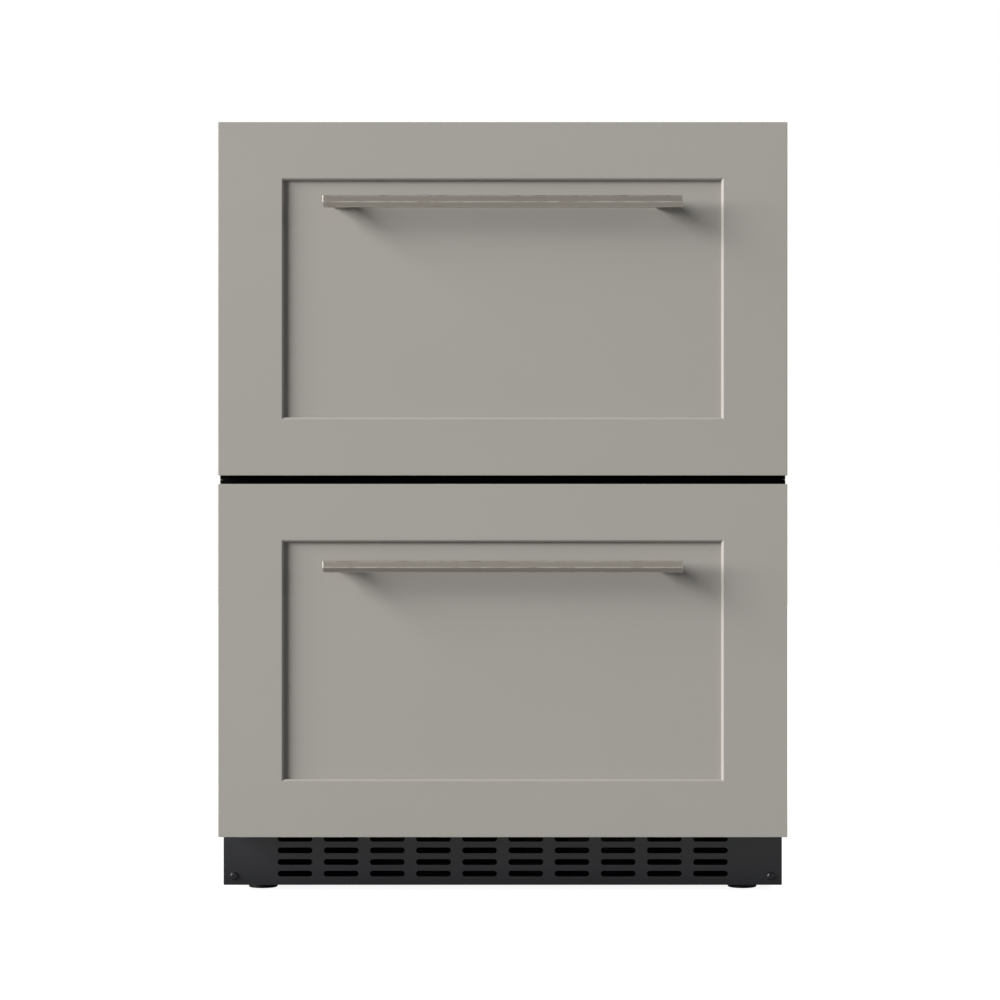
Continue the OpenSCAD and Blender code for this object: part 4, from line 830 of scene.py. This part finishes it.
BALL_X = 248.5              # the balls' middles, from the part's middle
BALL_R = 2.5
BALLS = 5                   # in each row
CAGE_T = 0.8
CAGE_TIP = 3.0              # a cage's flanges end that far inside the balls' middles


def make_cages(level, which):
    """Two bent strips, each with two rows of polished balls."""
    node = level + "_" + which + "_cages"
    low, high = (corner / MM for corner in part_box(node))
    row = (high.z - low.z) / 2 - BALL_R
    middle = (high.z + low.z) / 2
    length = high.y - low.y
    face = high.x
    web = face - CAGE_T
    tip = BALL_X - CAGE_TIP
    outer = row + CAGE_T / 2
    inner = row - CAGE_T / 2
    outline = [(face, -outer, 0.7), (face, outer, 0.7), (tip, outer, 0.2), (tip, inner, 0.2)]
    outline += [(web, inner, 0.3), (web, -inner, 0.3), (tip, -inner, 0.2), (tip, -outer, 0.2)]
    places = []
    for side in (-1, 1):
        loops = [[Vector((side * point.x, y, middle + point.y)) * MM for point in round_outline(outline, 3)]
                 for y in (low.y, high.y)]
        strip = piece_from(loft(loops), node + ("_right" if side > 0 else "_left"), 40)
        stand_for(strip, node)
        for number in range(BALLS):
            y = low.y + length / 2 + (number - (BALLS - 1) / 2) * length / (BALLS - 0.5)
            places += [(side * BALL_X, y, middle - row), (side * BALL_X, y, middle + row)]
    balls = grown(node + "_balls", TREE["ball_rows"], places, Radius=BALL_R * MM,
                  Material=FINISH["slide_steel"])
    stand_for(balls, node, coat="slide_steel")


# ---- machine space ----

CONDENSER = (-215.0, 161.8, 9.2)  # X of its fins' middle, Y of their first face, Z of what they stand on
CONDENSER_SIZE = (46, 120, 168)
CONDENSER_FINS = 22
CONDENSER_LEVELS = 4        # runs of its tube, one over another on each side
FIN_SHORT = 16              # how much lower the fins between the two end plates are
EVAPORATOR_HALF = 195.5     # half its fins' length
EVAPORATOR_FINS = 16
FIN_T = 1
COIL_R = 4
COIL_END = 6                # how far a coil's straight runs reach past the end fins


def make_condenser():
    """Fins on one tube that runs to and fro through them."""
    x, y0, z0 = CONDENSER
    width, length, height = CONDENSER_SIZE
    pitch = (length - FIN_T) / (CONDENSER_FINS - 1)
    middles = [(x, y0 + FIN_T / 2 + i * pitch, z0 + height / 2) for i in range(CONDENSER_FINS)]
    inner = middles[1:-1]
    ends = [middles[0], middles[-1]]
    for name, places, tall in (("inner_fins", inner, height - FIN_SHORT), ("end_fins", ends, height)):
        fins = grown("condenser_" + name, TREE["plate_stack"], places, Material=FINISH["black_steel"],
                     Size=(width * MM, FIN_T * MM, tall * MM))
        stand_for(fins, "condenser")
    runs = []
    near = y0 - COIL_END
    far = y0 + length + COIL_END
    out = x - width / 4
    home = x + width / 4
    for level in range(CONDENSER_LEVELS):
        z = z0 + (level + 1) * height / (CONDENSER_LEVELS + 1)
        runs += [((out, near, z), (out, far, z)), ((home, far, z), (home, near, z))]
        out, home = home, out
    stand_for(swept("condenser_coil", hairpins(runs), COIL_R), "condenser")
    middle = Vector((x, y0 + length / 2, z0 + height))
    union = upright_loft(middle, 10, 10, [(0, -12, 4.9), (0, -0.6, 4.9), (0.6, 0, 4.3)])
    stand_for(piece_from(union, "condenser_union"), "condenser")
    strap = upright_loft(middle, 12, length, [(0, -9, 0.5), (0, -8, 0.5)], 2)
    stand_for(piece_from(strap, "condenser_strap"), "condenser")


def make_evaporator():
    """Bright fins on one tube behind the duct's cover."""
    low, high = (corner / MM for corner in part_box("evaporator"))
    deep = high.y - low.y
    tall = high.z - low.z
    first = FIN_T / 2 - EVAPORATOR_HALF
    pitch = (2 * EVAPORATOR_HALF - FIN_T) / (EVAPORATOR_FINS - 1)
    places = [(first + i * pitch, low.y + deep / 2, low.z + tall / 2) for i in range(EVAPORATOR_FINS)]
    fins = grown("evaporator_fins", TREE["plate_stack"], places, Material=FINISH["fin_metal"],
                 Size=(FIN_T * MM, deep * MM, tall * MM))
    stand_for(fins, "evaporator")
    runs = []
    end = EVAPORATOR_HALF + COIL_END
    out = low.y + 0.3 * deep
    home = low.y + 0.7 * deep
    for part in (0.2, 0.5, 0.8):
        z = low.z + part * tall
        runs += [((-end, out, z), (end, out, z)), ((end, home, z), (-end, home, z))]
        out, home = home, out
    stand_for(swept("evaporator_coil", hairpins(runs), COIL_R), "evaporator")


LINE_R = 3
LINE_BEND = 14
LINE_GAP = 44               # between the two lines at the compressor
LINE_START = 5.7            # the compressor's stubs, above the lines' lowest point
RUN_DROP = 25.7             # the discharge line's level run, below the suction line's top


def make_lines():
    """The discharge line to the condenser and the suction line up to the cold side, in bent copper."""
    low, high = (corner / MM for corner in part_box("refrigerant_lines"))
    suction = high.x - LINE_R
    discharge = suction - LINE_GAP
    start = low.z + LINE_START
    run = high.z - RUN_DROP
    condenser = low.x + LINE_R
    y = (low.y + high.y) / 2
    corners = [(discharge, y, start), (discharge, y, run), (condenser, y, run), (condenser, y, low.z)]
    stand_for(swept("discharge_line", square_bends(corners, LINE_BEND), LINE_R), "refrigerant_lines")
    rise = [(suction, y, start), (suction, y, high.z)]
    stand_for(swept("suction_line", rise, LINE_R), "refrigerant_lines")


PANEL_REACH = 3.4           # how much lower the rear panel ends than in the CAD, which leaves a slit there
LOUVRE_COLUMNS = (-200, -120, 120)
LOUVRE_ROWS = 9
LOUVRE_PITCH = 20
LOUVRE_FIRST = 40.5         # from the cover's lower edge to the middle of the lowest hood


def make_rear():
    """The rear panel, drawn down to the louvred cover, and a hood over each of the cover's slots."""
    panel = merged("rear_panel")
    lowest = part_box("rear_panel")[0].z
    for corner in panel.verts:
        if corner.co.z < lowest + MM:
            corner.co.z -= PANEL_REACH * MM
    stand_for(eased(piece_from(panel, "rear_panel_sheet"), 0.4 * MM), "rear_panel")
    eased_node("rear_cover", 0.3)
    low, high = (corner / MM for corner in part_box("rear_cover"))
    places = [(x, high.y, low.z + LOUVRE_FIRST + row * LOUVRE_PITCH)
              for x in LOUVRE_COLUMNS for row in range(LOUVRE_ROWS)]
    hoods = grown("louvre_hoods", TREE["louvre_hoods"], places, Length=70 * MM, Height=9 * MM,
                  Rise=1.4 * MM, Sheet=0.7 * MM, Material=FINISH["galvanised_steel"])
    stand_for(hoods, "rear_cover")


# ---- legs ----

FOOT_H = 7.7
# a foot's rings from the floor up: inset, height, whether the grip notches cut it
FOOT_RINGS = ((1.2, 0, False), (0.35, 0.35, False), (0, 1.2, False), (0, 1.95, False), (0, 2.05, True),
              (0, FOOT_H - 1.2, True), (0.35, FOOT_H - 0.35, True), (1.2, FOOT_H, True))
NOTCHES = 12
NOTCH_R = 1.5
NOTCH_CENTRE = 16.1         # from the foot's axis to the middle of a notch's arc
STEM_R = 5
STEM_SIDES = 24
THREAD_PITCH = 2.0
THREAD_DEPTH = 0.9
THREAD_FADE = 1.5           # height over which the thread runs out at the stem's top
RINGS_A_TURN = 8


def foot_radius(turn, radius):
    """The foot's radius at an angle, less the notches that a hand grips it by."""
    away = math.remainder(turn - math.pi / NOTCHES, math.tau / NOTCHES)
    side = NOTCH_CENTRE * math.sin(away)
    if abs(side) >= NOTCH_R:
        return radius
    return min(radius, NOTCH_CENTRE * math.cos(away) - math.sqrt(NOTCH_R ** 2 - side ** 2))


def make_leg(node):
    """A round foot with grip notches, on a threaded stem."""
    low, high = (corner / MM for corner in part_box(node))
    axis = Vector(((low.x + high.x) / 2, (low.y + high.y) / 2, 0))

    def polar(radius, turn, z):
        return (axis + Vector((radius * math.cos(turn), radius * math.sin(turn), z))) * MM

    foot_sides = 12 * NOTCHES
    loops = []
    for inset, z, cut in FOOT_RINGS:
        edge = (high.x - low.x) / 2 - inset
        turns = [math.tau * i / foot_sides for i in range(foot_sides)]
        loops.append([polar(foot_radius(turn, edge) if cut else edge, turn, z) for turn in turns])
    stand_for(piece_from(loft(loops), node + "_foot"), node)
    loops = []
    for step in range(int((high.z - FOOT_H) / THREAD_PITCH * RINGS_A_TURN) + 1):
        z = min(FOOT_H - 0.3 + step * THREAD_PITCH / RINGS_A_TURN, high.z)
        fade = min(1.0, (high.z - z) / THREAD_FADE)
        ring = []
        for i in range(STEM_SIDES):
            wave = abs(math.remainder(z / THREAD_PITCH - i / STEM_SIDES, 1.0)) * 2
            radius = STEM_R - THREAD_DEPTH * (1 - fade + fade * wave)
            ring.append(polar(radius, math.tau * i / STEM_SIDES, z))
        loops.append(ring)
    stand_for(piece_from(loft(loops), node + "_stem", 80), node)


# ---- controls ----

# a button's domed face: inset, depth behind its highest point, corner radius
BUTTON_DOME = ((0, 0.8, 1.75), (0.25, 0.35, 1.5), (0.8, 0.12, 1.3), (2.2, 0.0, 1.2), (3.6, 0.05, 0.6))


def make_button(node):
    """A push button with a softly domed face."""
    low, high = (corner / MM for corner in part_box(node))
    stations = [(0, high.y - low.y, 1.75), *BUTTON_DOME]
    middle = Vector(((low.x + high.x) / 2, low.y, (low.z + high.z) / 2))
    loops = facing_loops(middle, high.x - low.x, high.z - low.z, stations)
    stand_for(piece_from(loft(loops), node + "_cap"), node)


# ---- the whole part ----

# rounding in millimetres of the edges of the pieces that keep their CAD form
EASED = {
    "inner_rails": 0.2, "mid_rails": 0.2, "outer_rails": 0.2, "toe_kick_grille": 0.35,
    "outer_wrapper": 0.5, "mullion": 0.5, "base_pan": 0.4, "stepped_floor": 0.4, "cabinet_screws": 0.15,
    "worktop_brackets": 0.4, "inner_liner": 1.0, "evaporator_cover": 0.6, "control_housing": 0.8,
    "display_window": 0.2, "light_lens": 1.0, "compressor": 1.2, "compressor_grommets": 0.6,
    "condenser_fan_frame": 0.8, "condenser_fan_rotor": 0.3, "evaporator_fan_motor": 0.6,
    "evaporator_fan_rotor": 0.3, "drain_pan": 0.6, "cord_inlet": 0.3,
}


def make_all():
    """Every piece that stands for a CAD node. Only the foam and the fronts' fields stay as they are."""
    for level in LEVELS:
        eased_node(level + "_front_frame", 0.5, 3)
        make_handles(level)
        make_shell(level)
        make_door_panel(level)
        make_gasket(level)
        make_bin(level)
        make_cages(level, "outer")
        make_cages(level, "inner")
    for name, width in EASED.items():
        for node in (name, "upper_" + name, "lower_" + name):
            if node in frame["nodes"]:
                eased_node(node, width)
    make_condenser()
    make_evaporator()
    make_lines()
    make_rear()
    for node in frame["nodes"]:
        if node.startswith("leg_"):
            make_leg(node)
        if node.endswith("_button"):
            make_button(node)


make_camera()
make_lights()
make_floor()
paint_nodes()
TREE = {maker.__name__: maker() for maker in (plate_stack, ball_rows, louvre_hoods)}
make_all()
